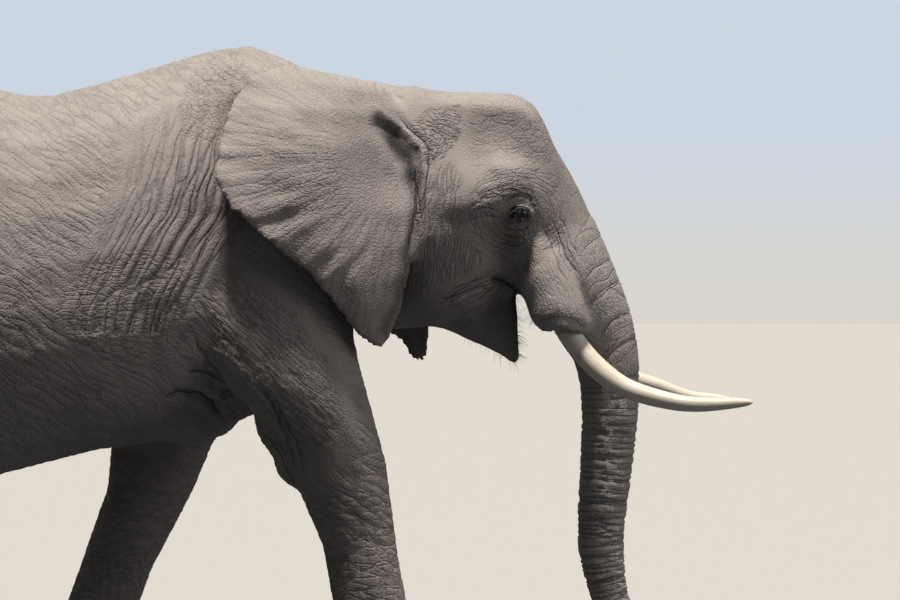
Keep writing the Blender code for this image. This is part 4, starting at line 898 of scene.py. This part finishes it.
def thinSkin(skin):     # fewest triangles where the hide is smooth; the face keeps more
    mesh = skin.data
    points = readPoints(mesh)
    squared = (points[:, 0] - eyeX) ** 2 + (points[:, 2] - eyeZ) ** 2
    nearEye = np.exp(-(squared / skinPlan["keepFace"] ** 2) ** 2)
    spare = 1 - np.clip(nearEye * readValues(mesh, "headArea"), 0, 1)
    group = skin.vertex_groups.new(name="spare")
    for level in range(11):
        chosen = np.flatnonzero(np.round(spare * 10) == level)
        if len(chosen):
            group.add(chosen.tolist(), level / 10, "REPLACE")
    thin = skin.modifiers.new("thin", "DECIMATE")
    thin.ratio = skinPlan["triangles"] / (2 * len(mesh.polygons))
    thin.vertex_group, thin.vertex_group_factor = group.name, skinPlan["keepStrength"]
    applied(skin)
    skin.vertex_groups.clear()


def areaValues(mesh):
    return {name: readValues(mesh, name + "Area") for name in areas}


areas = {"ear": ("ear",), "trunk": ("trunk",), "head": ("head", "lower_jaw", "trunk_base"),
         "body": ("torso", "neck"), "leg": ("foreleg", "hindleg"), "tail": ("tail",)}
coarseEdges = readEdges(skin.data)
for name, starts in areas.items():
    storeValues(skin.data, name + "Area", spread(coarseEdges, areaOf(nodeOf, *starts), 2 if name == "ear" else 4))
pressForms(skin, areaValues(skin.data))
hide = hideMaterial()
refine(skin, hide)
print("skin: refined,", len(skin.data.vertices), "points")
foldHide(skin, areaValues(skin.data))
rippleEars(skin, areaValues(skin.data))
print("skin: folded")
smoothPoints, smoothNormals = readPoints(skin.data), readNormals(skin.data)
storeValues(skin.data, "smoothPlace", smoothPoints)
storeValues(skin.data, "smoothFacing", smoothNormals)
layCreases(skin.data, smoothPoints, smoothNormals, areaValues(skin.data))
runTree(skin, creaseTree(), {"Puff": creasePlan["puff"], "Finish": hide})
print("skin: creased")
thinSkin(skin)
thinned, thinnedAreas = skin.data, areaValues(skin.data)
layCreases(thinned, readVectors(thinned, "smoothPlace"), readVectors(thinned, "smoothFacing"), thinnedAreas)
held = readPoints(thinned)
held[:, 2] = np.maximum(held[:, 2], skinPlan["lowest"])
writePoints(thinned, held)
foldPlace = readVectors(thinned, "foldPlace")
_, foldSide, foldDeep = foldShape(foldPlace, readVectors(thinned, "foldFacing"), thinnedAreas)
storeValues(thinned, "foldSide", foldSide)
storeValues(thinned, "foldDeep", foldDeep)
# painted shade in the hollows by the ear, eyes and mouth, for the hide's finish
storeValues(thinned, "paintedShade", paintShadeInHollows(foldPlace, thinnedAreas))

# lids: the hide round each eye is opened and closed again with rings down to the lid's edge
eyePlan = {"radius": 0.0262, "cut": 0.046, "cutFlat": 1.15, "cutDeep": 0.09, "near": 0.12, "rings": 16,
           "behind": 2, "half": 0.0290, "upper": 0.0160, "lower": 0.0130,
           "roundness": 1.15, "tilt": -8.0, "lid": 0.0042, "behindLid": 0.0115, "tuck": 0.10, "turnIn": 0.0032,
           # dark sets the strength of the painted shade towards each lid's edge
           "turnInStep": 0.0038, "flatter": 0.25, "dark": 0.92, "gaze": (0.30, 1.0, -0.10), "inset": 0.0006,
           "cornea": 0.0010, "corneaAngle": 0.62, "irisAngle": 0.9}
# height, place and width of the rolls between the lid's edge, at 0, and the open hide, at 1
upperRolls = ((0.0012, 0.10, 0.07), (-0.0036, 0.30, 0.055), (0.0030, 0.45, 0.09), (-0.0016, 0.62, 0.05))
lowerRolls = ((0.0014, 0.12, 0.08), (-0.0026, 0.33, 0.06), (0.0026, 0.50, 0.09), (-0.0018, 0.68, 0.05))


def lidRise(t, up):     # up is 1 above the eye and -1 below it
    above, below = (sum(rise * math.exp(-((t - at) / width) ** 2) for rise, at, width in rolls)
                    for rolls in (upperRolls, lowerRolls))
    mix = 0.5 + 0.5 * up
    return (above * mix + below * (1 - mix)) * min(1.0, 3.0 * abs(up) + 0.35)


def cutHide(shape, middle):     # the hide over the eye goes, and its edge comes back as a loop
    doomed = []
    for face in shape.faces:
        c = face.calc_center_median() - middle
        if abs(c.y) < eyePlan["cutDeep"] and math.hypot(c.x, c.z * eyePlan["cutFlat"]) < eyePlan["cut"]:
            doomed.append(face)
    bmesh.ops.delete(shape, geom=doomed, context="FACES")
    links = {}
    for e in shape.edges:
        if len(e.link_faces) == 1 and (e.verts[0].co - middle).length < eyePlan["near"]:
            for v in e.verts:
                links.setdefault(v, []).append(e)
    first = max(links, key=lambda v: v.co.x)
    loop, here, came = [first], first, None
    while True:
        ahead = next(e for e in links[here] if e is not came)
        here, came = ahead.other_vert(here), ahead
        if here is first:
            return loop
        loop.append(here)


def lidPoint(out, side, k):     # k counts down from the open hide to the lid's edge, at 0, and on behind it
    plan, t = eyePlan, k / eyePlan["rings"]
    c, s = math.cos(math.radians(plan["tilt"])), math.sin(math.radians(plan["tilt"]))
    angle = math.atan2(out.z * c - out.x * s, out.x * c + out.z * s)
    up, wide = math.sin(angle), plan["half"] * math.cos(angle)
    high = (plan["upper"] if up > 0 else plan["lower"]) * abs(up) ** plan["roundness"] * (1 if up > 0 else -1)
    edge = Vector((wide * c - high * s, 0, wide * s + high * c))
    share = max(t, 0) ** 1.15
    inPlane = edge * (1 - share) + Vector((out.x, 0, out.z)) * share
    if k < 0:
        inPlane = edge * (1 + plan["tuck"] * k)
    away = math.hypot(inPlane.x, inPlane.z)
    ball = math.sqrt(max((plan["radius"] + plan["lid"]) ** 2 - away ** 2, plan["behindLid"] ** 2))
    if k < 0:
        return Vector((inPlane.x, side * (ball - plan["turnIn"] + plan["turnInStep"] * (k + 1)), inPlane.z))
    blend = t * t * (3 - 2 * t)
    rise = ball * (1 - blend) + (abs(out.y) if out.y * side > 0 else -abs(out.y)) * blend
    return Vector((inPlane.x, side * (rise + (lidRise(t, up) if t > 0 else 0)), inPlane.z))


def openEye(skin, side):
    middle = eyeCentre(side)
    shape = bmesh.new()
    shape.from_mesh(skin.data)
    loop = cutHide(shape, middle)
    area = sum(a.co.x * b.co.z - b.co.x * a.co.z for a, b in zip(loop, loop[1:] + loop[:1]))
    stored = shape.verts.layers
    layers = (*stored.float.values(), *stored.float_vector.values())
    rings = [loop]
    for k in range(eyePlan["rings"] - 1, -eyePlan["behind"] - 1, -1):
        ring = []
        for v in loop:
            made = shape.verts.new(middle + lidPoint(v.co - middle, side, k))
            for layer in layers:
                made[layer] = v[layer]
            ring.append(made)
        rings.append(ring)
    for outer, inner in zip(rings, rings[1:]):
        for i in range(len(loop)):
            j = (i + 1) % len(loop)
            quad = (outer[i], outer[j], inner[j], inner[i])
            shape.faces.new(quad if area * side < 0 else quad[::-1])
    paintedShade = stored.float["paintedShade"]
    for k, ring in enumerate(rings[1:]):        # fewer creases on the lids, and painted shade, darker towards their edge
        for v in ring:
            for name in ("creaseDepth", "crossDepth", "foldDeep"):
                v[stored.float[name]] *= eyePlan["flatter"]
            v[paintedShade] = max(v[paintedShade], eyePlan["dark"] * min(1.0, max(0.0, (k - 4) / 5)))
    shape.to_mesh(skin.data)
    shape.free()
    print("eye opened,", len(loop), "points round it")


for side in (-1, 1):
    openEye(skin, side)
coat(skin.data, hide)
print("skin: thinned to", len(skin.data.polygons), "triangles")

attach(skin, "root")
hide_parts(*fleshNodes)


# tusks: solid ivory, lofted along the root's line to the worn tip
tuskPlan = {"sides": 40, "steps": 7, "rough": 0.016, "wearStart": 0.86, "wear": 0.25,
            "short": 0.945, "drop": 0.016, "lift": (0.034, 0.48, 0.20),
            # along, out, height and radius, from the lip to the tip
            "line": ((1.008, 0.172, 1.668, 0.0350), (1.063, 0.186, 1.578, 0.0345), (1.113, 0.198, 1.511, 0.0352),
                     (1.169, 0.212, 1.458, 0.0345), (1.231, 0.226, 1.416, 0.0320), (1.305, 0.243, 1.389, 0.0296),
                     (1.386, 0.260, 1.370, 0.0268), (1.445, 0.272, 1.363, 0.0245), (1.504, 0.283, 1.362, 0.0218),
                     (1.577, 0.294, 1.366, 0.0172), (1.624, 0.300, 1.369, 0.0105), (1.639, 0.302, 1.370, 0.0030))}
ivoryPlan = {"cream": "#e6dfd1", "deep": "#c9baa0", "stain": "#9a7a52", "scratch": "#8f7c62", "stained": 0.75,
             "relief": 0.0016, "roughness": 0.38, "depth": (0.012, 0.007, 0.004)}


def ivoryMaterial():    # dense dentine: cream, close to satin; brown sap stain at its root, scratches along it
    made, tree, shader = newMaterial("elephant ivory")
    lie = addNode(tree, "ShaderNodeAttribute", attribute_name="ringPlace").outputs["Vector"]
    run = addNode(tree, "ShaderNodeSeparateXYZ", {0: lie}).outputs["Z"]
    grains = []
    for stretch, detail, rough in (((5.0, 5.0, 2.2), 6.0, 0.65), ((22.0, 22.0, 4.0), 4.0, 0.7)):
        long = addNode(tree, "ShaderNodeVectorMath", {0: lie, 1: stretch}, operation="MULTIPLY")
        grains.append(addNode(tree, "ShaderNodeTexNoise", {"Vector": long, "Scale": 2.0, "Detail": detail,
                                                           "Roughness": rough}))
    streak, scratch = grains
    coords = addNode(tree, "ShaderNodeTexCoord")
    blotch = addNode(tree, "ShaderNodeTexNoise", {"Vector": coords.outputs["Object"], "Scale": 26.0, "Detail": 5.0})
    rootward = addNode(tree, "ShaderNodeMapRange", {0: run, 1: 0.06, 2: 0.30, 3: 1.0, 4: 0.0}, **smoothStep)
    tipward = addNode(tree, "ShaderNodeMapRange", {0: run, 1: 0.80, 2: 1.0, 3: 0.0, 4: 0.75}, **smoothStep)
    ends = addNode(tree, "ShaderNodeMath", {0: rootward, 1: tipward}, operation="ADD")
    patches = addNode(tree, "ShaderNodeMapRange", {0: blotch, 1: 0.46, 2: 0.66, 3: 0.0, 4: 1.0})
    stained = addNode(tree, "ShaderNodeMath", {0: ends, 1: patches}, operation="MULTIPLY", use_clamp=True)
    stained = addNode(tree, "ShaderNodeMath", {0: stained, 1: ivoryPlan["stained"]}, operation="MULTIPLY")
    scored = addNode(tree, "ShaderNodeMapRange", {0: scratch, 1: 0.54, 2: 0.68, 3: 0.0, 4: 0.7})
    colour = linear(ivoryPlan["cream"])
    for share, name in ((streak, "deep"), (stained, "stain"), (scored, "scratch")):
        mixed = addNode(tree, "ShaderNodeMix", {0: share, 6: colour, 7: linear(ivoryPlan[name])}, **mixColours)
        colour = mixed.outputs[2]
    height = addNode(tree, "ShaderNodeMath", {0: scratch, 1: streak}, operation="ADD")
    bump = addNode(tree, "ShaderNodeBump", {"Height": height, "Distance": ivoryPlan["relief"], "Strength": 0.5})
    setInputs(tree, shader, {"Base Color": colour, "Normal": bump, "Roughness": ivoryPlan["roughness"],
                             "IOR": 1.54, "Subsurface Weight": 0.08, "Subsurface Radius": ivoryPlan["depth"]})
    return made


def buildTusk(side, finish):
    name = "tusk_left_ivory" if side > 0 else "tusk_right_ivory"
    table = smoothTable(tuskPlan["line"], tuskPlan["steps"])
    if side > 0:        # the left tusk is a little shorter and straighter, its tip lower
        table[:, 0] = table[0, 0] + (table[:, 0] - table[0, 0]) * tuskPlan["short"]
        share = np.linspace(0, 1, len(table))
        rise, where, reach = tuskPlan["lift"]
        table[:, 2] += rise * np.exp(-((share - where) / reach) ** 2) - tuskPlan["drop"] * share ** 4
    path, start = table[:, :3] * (1, side, 1), tuskPlan["wearStart"]
    shape = bmesh.new()
    place = shape.verts.layers.float_vector.new("ringPlace")
    rings = []
    for i, (middle, radius) in enumerate(zip(path, table[:, 3])):
        ahead = Vector(path[min(i + 1, len(path) - 1)] - path[max(i - 1, 0)]).normalized()
        across = ahead.cross(Vector((0, 1, 0))).normalized()
        other = ahead.cross(across)
        share = i / (len(path) - 1)
        ring = []
        for k in range(tuskPlan["sides"]):
            a = 2 * math.pi * k / tuskPlan["sides"]
            worn = 1 - tuskPlan["wear"] * max(0, (share - start) / (1 - start)) * max(0, math.sin(a + 0.6))
            swell = 1 + tuskPlan["rough"] * (math.sin(3 * a + 9 * share) * 0.6 + math.sin(17 * share + a) * 0.7)
            out = math.cos(a) * across + math.sin(a) * other
            v = shape.verts.new(Vector(middle) + out * radius * worn * swell + Vector((withersX, 0, 0)))
            v[place] = (math.cos(a), math.sin(a), share)
            ring.append(v)
        rings.append(ring)
    for near, far in zip(rings, rings[1:]):
        for k in range(len(near)):
            j = (k + 1) % len(near)
            shape.faces.new((near[k], near[j], far[j], far[k]))
    shape.faces.new(rings[0])
    shape.faces.new(rings[-1])
    bmesh.ops.recalc_face_normals(shape, faces=shape.faces)
    tusk = newThing(name, meshFrom(shape, name))
    coat(tusk.data, finish)
    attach(tusk, "root")
    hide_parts("tusk_left" if side > 0 else "tusk_right")


ivory = ivoryMaterial()
for side in (-1, 1):
    buildTusk(side, ivory)
print("tusks built")


# eyes: a dark brown iris under a wet, clear cornea
eyeColours = ((0.0, "#030303"), (0.24, "#050404"), (0.29, "#1d130b"), (0.52, "#2c1c0f"), (0.74, "#120c08"),
              (0.88, "#171311"), (1.0, "#1c1715"))      # from the pupil outwards


def eyeMaterial():      # living eye: wet and glassy, almost black from a distance, a brown iris close to
    made, tree, shader = newMaterial("wet brown eye")
    angle = addNode(tree, "ShaderNodeAttribute", attribute_name="fromPupil")
    coords = addNode(tree, "ShaderNodeTexCoord")
    fibre = addNode(tree, "ShaderNodeTexNoise", {"Vector": coords.outputs["Object"], "Scale": 420.0, "Detail": 3.0})
    shifted = addNode(tree, "ShaderNodeMath", {0: fibre, 1: 0.12, 2: angle.outputs["Fac"]},
                      operation="MULTIPLY_ADD")
    rings = addNode(tree, "ShaderNodeValToRGB", {"Fac": shifted})
    steps = rings.color_ramp.elements
    while len(steps) < len(eyeColours):
        steps.new(0.5)
    for step, (at, colour) in zip(steps, eyeColours):
        step.position, step.color = at, linear(colour)
    setInputs(tree, shader, {"Base Color": rings, "Roughness": 0.12, "IOR": 1.38, "Coat Weight": 1.0,
                             "Coat Roughness": 0.03})
    return made


def buildEye(side, finish):
    node = "eye_left" if side > 0 else "eye_right"
    middle, plan = eyeCentre(side), eyePlan
    ahead, out, up = plan["gaze"]
    shape = bmesh.new()
    bmesh.ops.create_uvsphere(shape, u_segments=56, v_segments=40, radius=1.0)
    spin = Vector((ahead, side * out, up)).normalized().to_track_quat("Z", "Y")
    layer = shape.verts.layers.float.new("fromPupil")
    for v in shape.verts:
        angle = v.co.normalized().angle(Vector((0, 0, 1)))
        v[layer] = min(angle / plan["irisAngle"], 1.0)
        bulge = plan["cornea"] * max(0.0, 1 - (angle / plan["corneaAngle"]) ** 2)
        v.co = middle + spin @ (v.co * (plan["radius"] - plan["inset"] + bulge))
    ball = newThing(node + "_ball", meshFrom(shape, node + "_ball"))
    coat(ball.data, finish)
    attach(ball, "root")
    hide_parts(node)


wetEye = eyeMaterial()
for side in (-1, 1):
    buildEye(side, wetEye)
print("eyes built")


# toenails: horn plates, rounded by a fine remesh
nailPlan = {"cell": 0.0032, "rounds": 12, "steps": (0.5, -0.47), "lowest": 0.0012,
            "deep": "#8c8069", "pale": "#b5a98e", "dirt": "#6d6152", "relief": 0.0012, "roughness": 0.55}


def nailMaterial():     # horn: yellow-grey and dull, ridged down its length, scuffed and dusty at its edge
    made, tree, shader = newMaterial("toenail horn")
    place = addNode(tree, "ShaderNodeTexCoord").outputs["Object"]
    tall = addNode(tree, "ShaderNodeMapping", {"Vector": place, "Scale": (150.0, 150.0, 18.0)})
    ridges = addNode(tree, "ShaderNodeTexNoise", {"Vector": tall, "Scale": 1.0, "Detail": 3.0})
    dirt = addNode(tree, "ShaderNodeTexNoise", {"Vector": place, "Scale": 38.0, "Detail": 5.0})
    worn = addNode(tree, "ShaderNodeMapRange", {0: dirt, 1: 0.42, 2: 0.62, 3: 0.0, 4: 0.6})
    tone = addNode(tree, "ShaderNodeMix", {0: ridges, 6: linear(nailPlan["deep"]), 7: linear(nailPlan["pale"])},
                   **mixColours)
    dusted = addNode(tree, "ShaderNodeMix", {0: worn, 6: tone.outputs[2], 7: linear(nailPlan["dirt"])},
                     **mixColours)
    bump = addNode(tree, "ShaderNodeBump", {"Height": ridges, "Distance": nailPlan["relief"], "Strength": 0.7})
    setInputs(tree, shader, {"Base Color": dusted.outputs[2], "Normal": bump, "Roughness": nailPlan["roughness"]})
    return made


def buildNails():
    nails = sorted(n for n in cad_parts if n.startswith("nail"))
    plates = coverNodes("toenails", nails, nailPlan["cell"])[0]
    mesh = plates.data
    points = eased(readEdges(mesh), readPoints(mesh), nailPlan["rounds"], nailPlan["steps"])
    points[:, 2] = np.maximum(points[:, 2], nailPlan["lowest"])
    writePoints(mesh, points)
    coat(mesh, nailMaterial())
    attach(plates, "root")
    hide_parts(*nails)


buildNails()
print("toenails built")

# hair: solid tapered bristles rooted in the hide, and the wiry tuft of the tail
# name: middle along, height, reach along, reach up, number, length, droop, how far it leans ahead, flesh it is on
bristlePlan = {
    "chin": (0.885, 1.560, 0.040, 0.090, 170, 0.036, 0.45, 0.5, "head"),
    "jaw line": (0.800, 1.590, 0.090, 0.080, 110, 0.020, 0.5, 0.2, "head"),
    "trunk front": (1.120, 1.800, 0.140, 0.260, 260, 0.009, 0.25, 0.3, "trunk"),
    "trunk below": (1.190, 1.200, 0.100, 0.340, 320, 0.010, 0.3, 0.2, "trunk"),
    "trunk tip": (1.360, 0.450, 0.150, 0.120, 260, 0.014, 0.3, 0.3, "trunk"),
    "forehead": (0.860, 2.300, 0.130, 0.090, 200, 0.009, 0.1, 0.3, "head"),
    "nape": (0.480, 2.380, 0.300, 0.070, 260, 0.010, 0.1, -0.2, "any"),
    "back": (-0.500, 2.430, 0.900, 0.110, 520, 0.010, 0.1, -0.4, "body"),
    "brow": (0.880, 2.030, 0.070, 0.020, 60, 0.012, 0.2, 0.4, "head"),
}
hairPlan = {"baseRadius": 0.00042, "sides": 4, "joints": (0.0, 0.3, 0.65, 1.0), "taper": 0.8, "patch": 0.003,
            "sink": 0.003, "stray": 0.005, "scatter": 0.25, "inner": 0.98}
# along the upper lid and along the lower one: number, side of the eye, lift, length
lashPlan = {"upper": (64, 1, 0.25, 0.040), "lower": (26, -1, -0.5, 0.018), "span": 1.15, "outside": 1.02,
            "over": 0.0035, "behind": 0.011, "stray": 0.08, "radius": 0.0007, "droop": 0.55}
tuftPlan = {"number": 900, "spread": 0.010, "flat": 0.5, "start": 0.012, "reach": 0.45, "end": 0.020,
            "radius": 0.0011}
bodyLine = ((-1.99, 1.80), (-1.40, 1.85), (-0.60, 1.80), (0.10, 1.95), (0.55, 2.05)) + trunkLine


def unwrapAt(points):       # the hide unrolled: u runs from the rump to the trunk's tip, v round the body line
    down, front = alongPath(points[:, 0], points[:, 2], bodyLine)
    total = sum(math.hypot(b[0] - a[0], b[1] - a[1]) for a, b in zip(bodyLine, bodyLine[1:]))
    turned = np.arctan2(points[:, 1], front) / (2 * math.pi)
    return np.column_stack((down / total * hairPlan["inner"] + 0.01, turned * hairPlan["inner"] + 0.5))


def hairMaterial(name, colour):     # coarse dark hair: keratin, dull, brown-black with a faint shine along it
    made, tree, shader = newMaterial(name)
    setInputs(tree, shader, {"Base Color": linear(colour), "Roughness": 0.5, "Anisotropic": 0.4})
    return made


def rodFaces(sides, joints):        # two triangles to each side of each length, and a fan at both ends
    faces = []
    for j in range(joints - 1):
        low, high = j * sides, (j + 1) * sides
        for k in range(sides):
            n = (k + 1) % sides
            faces += [(low + k, low + n, high + n), (low + k, high + n, high + k)]
    top = (joints - 1) * sides
    faces += [(0, k + 1, k) for k in range(1, sides - 1)]
    faces += [(top, top + k, top + k + 1) for k in range(1, sides - 1)]
    return np.array(faces)


def growHair(name, roots, heads, lengths, radii, droops, finish):       # every hair a tapered, drooping rod
    sides, joints = hairPlan["sides"], hairPlan["joints"]
    heads = heads / np.linalg.norm(heads, axis=1)[:, None]
    spare = np.where(np.abs(heads[:, 2:]) > 0.9, (1.0, 0.0, 0.0), (0.0, 0.0, 1.0))
    across = np.cross(heads, spare)
    across /= np.linalg.norm(across, axis=1)[:, None]
    other = np.cross(heads, across)
    places, around = [], []
    for share in joints:
        middle = roots + heads * (lengths * share)[:, None]
        middle[:, 2] -= lengths * droops * share ** 2
        wide = radii * (1 - hairPlan["taper"] * share)
        for k in range(sides):
            a = 2 * math.pi * k / sides
            places.append(middle + (across * math.cos(a) + other * math.sin(a)) * wide[:, None])
            around.append((math.cos(a), share))
    points = np.stack(places, axis=1).reshape(-1, 3)
    each = np.arange(len(roots))[:, None, None] * len(places)
    faces = (each + rodFaces(sides, len(joints))[None]).reshape(-1, 3)
    mesh = bpy.data.meshes.new(name)
    mesh.from_pydata((points + (withersX, 0, 0)).tolist(), [], faces.tolist())
    unrolled = mesh.uv_layers.new(name="OFBake")
    spot = unwrapAt(roots)[:, None, :] + (np.array(around)[None] * (0.5, 1.0) * hairPlan["patch"])
    corner = readTable(mesh.loops, "vertex_index", 1, np.int32).ravel()
    unrolled.data.foreach_set("uv", spot.reshape(-1, 2)[corner].astype(np.float32).ravel())
    coat(mesh, finish)
    hair = newThing(name, mesh)
    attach(hair, "root")
    print(name, "grown:", len(faces), "triangles")
    return hair


def growBristles():
    draw = np.random.default_rng(41)
    mesh = skin.data
    places, facing, area = readPoints(mesh), readNormals(mesh), areaValues(mesh)
    area["any"] = 1 - area["ear"]
    roots, heads, lengths, droops = [], [], [], []
    for x, z, along, up, number, length, droop, ahead, flesh in bristlePlan.values():
        weight = mound(places[:, 0], places[:, 2], (x, z), (along, up)) * area[flesh] * area["any"]
        chosen = draw.choice(len(places), number, p=weight / weight.sum())
        step = draw.normal(0, hairPlan["stray"], (number, 3))
        step -= facing[chosen] * np.sum(step * facing[chosen], axis=1)[:, None]
        roots.append(places[chosen] + step - facing[chosen] * hairPlan["sink"])
        heads.append(facing[chosen] + (ahead, 0, 0) + draw.normal(0, hairPlan["scatter"], (number, 3)))
        lengths.append(length * draw.uniform(0.45, 1.25, number))
        droops.append(np.full(number, droop))
    roots, heads = np.vstack(roots), np.vstack(heads)
    lengths, droops = np.concatenate(lengths), np.concatenate(droops)
    radii = hairPlan["baseRadius"] * draw.uniform(0.8, 1.3, len(roots))
    growHair("bristles", roots, heads, lengths, radii, droops, hairMaterial("dark bristle hair", "#4a433d"))


def growLashes():       # long straight lashes along each upper lid, short ones along the lower
    draw, plan = np.random.default_rng(43), lashPlan
    roots, heads, lengths = [], [], []
    for side in (-1, 1):
        middle = eyeCentre(side) - Vector((withersX, 0, 0))
        for lid in ("upper", "lower"):
            number, above, lift, length = plan[lid]
            for _ in range(number):
                a = draw.uniform(-plan["span"], plan["span"])
                x = eyePlan["half"] * math.sin(a) * plan["outside"]
                z = above * eyePlan[lid] * abs(math.cos(a)) ** eyePlan["roundness"]
                ball = eyePlan["radius"] + plan["over"]
                out = math.sqrt(max(ball ** 2 - x * x - z * z, plan["behind"] ** 2))
                roots.append((middle.x + x, middle.y + side * out, middle.z + z))
                lean, rise = draw.normal(0, plan["stray"]), draw.normal(0, plan["stray"])
                heads.append((0.35 * math.sin(a) + lean, side, lift + rise))
                lengths.append(length * draw.uniform(0.7, 1.1))
    roots, heads, lengths = np.array(roots), np.array(heads), np.array(lengths)
    growHair("eyelashes", roots, heads, lengths, np.full(len(roots), plan["radius"]),
             np.full(len(roots), plan["droop"]), hairMaterial("eyelash hair", "#1d1a18"))


def growTail():     # flattened wiry strands from the tail's last hand's breadth
    draw, plan = np.random.default_rng(47), tuftPlan
    low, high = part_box("tail_tuft")
    number, tall = plan["number"], high.z - low.z
    middle = np.array(((low.x + high.x) / 2 - withersX, (low.y + high.y) / 2, high.z))
    fall = draw.uniform(0, 1, number)
    turn = draw.uniform(0, 2 * math.pi, number)
    none = np.zeros(number)
    out = np.column_stack((np.cos(turn), plan["flat"] * np.sin(turn), none))
    start = plan["start"] - fall * tall * plan["reach"]
    roots = middle + out * plan["spread"] + np.column_stack((none, none, start))
    heads = out * draw.uniform(0.03, 0.16, number)[:, None] + (0.02, 0, -1) + draw.normal(0, 0.02, (number, 3))
    lengths = (tall * (1 - plan["reach"] * fall) - plan["end"]) * draw.uniform(0.55, 0.98, number)
    radii = plan["radius"] * draw.uniform(0.8, 1.3, number)
    finish = hairMaterial("wiry tail hair", "#211d1b")
    tuft = growHair("tail_hair_tuft", roots, heads, lengths, radii, none, finish)
    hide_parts("tail_tuft")


growBristles()
growLashes()
growTail()
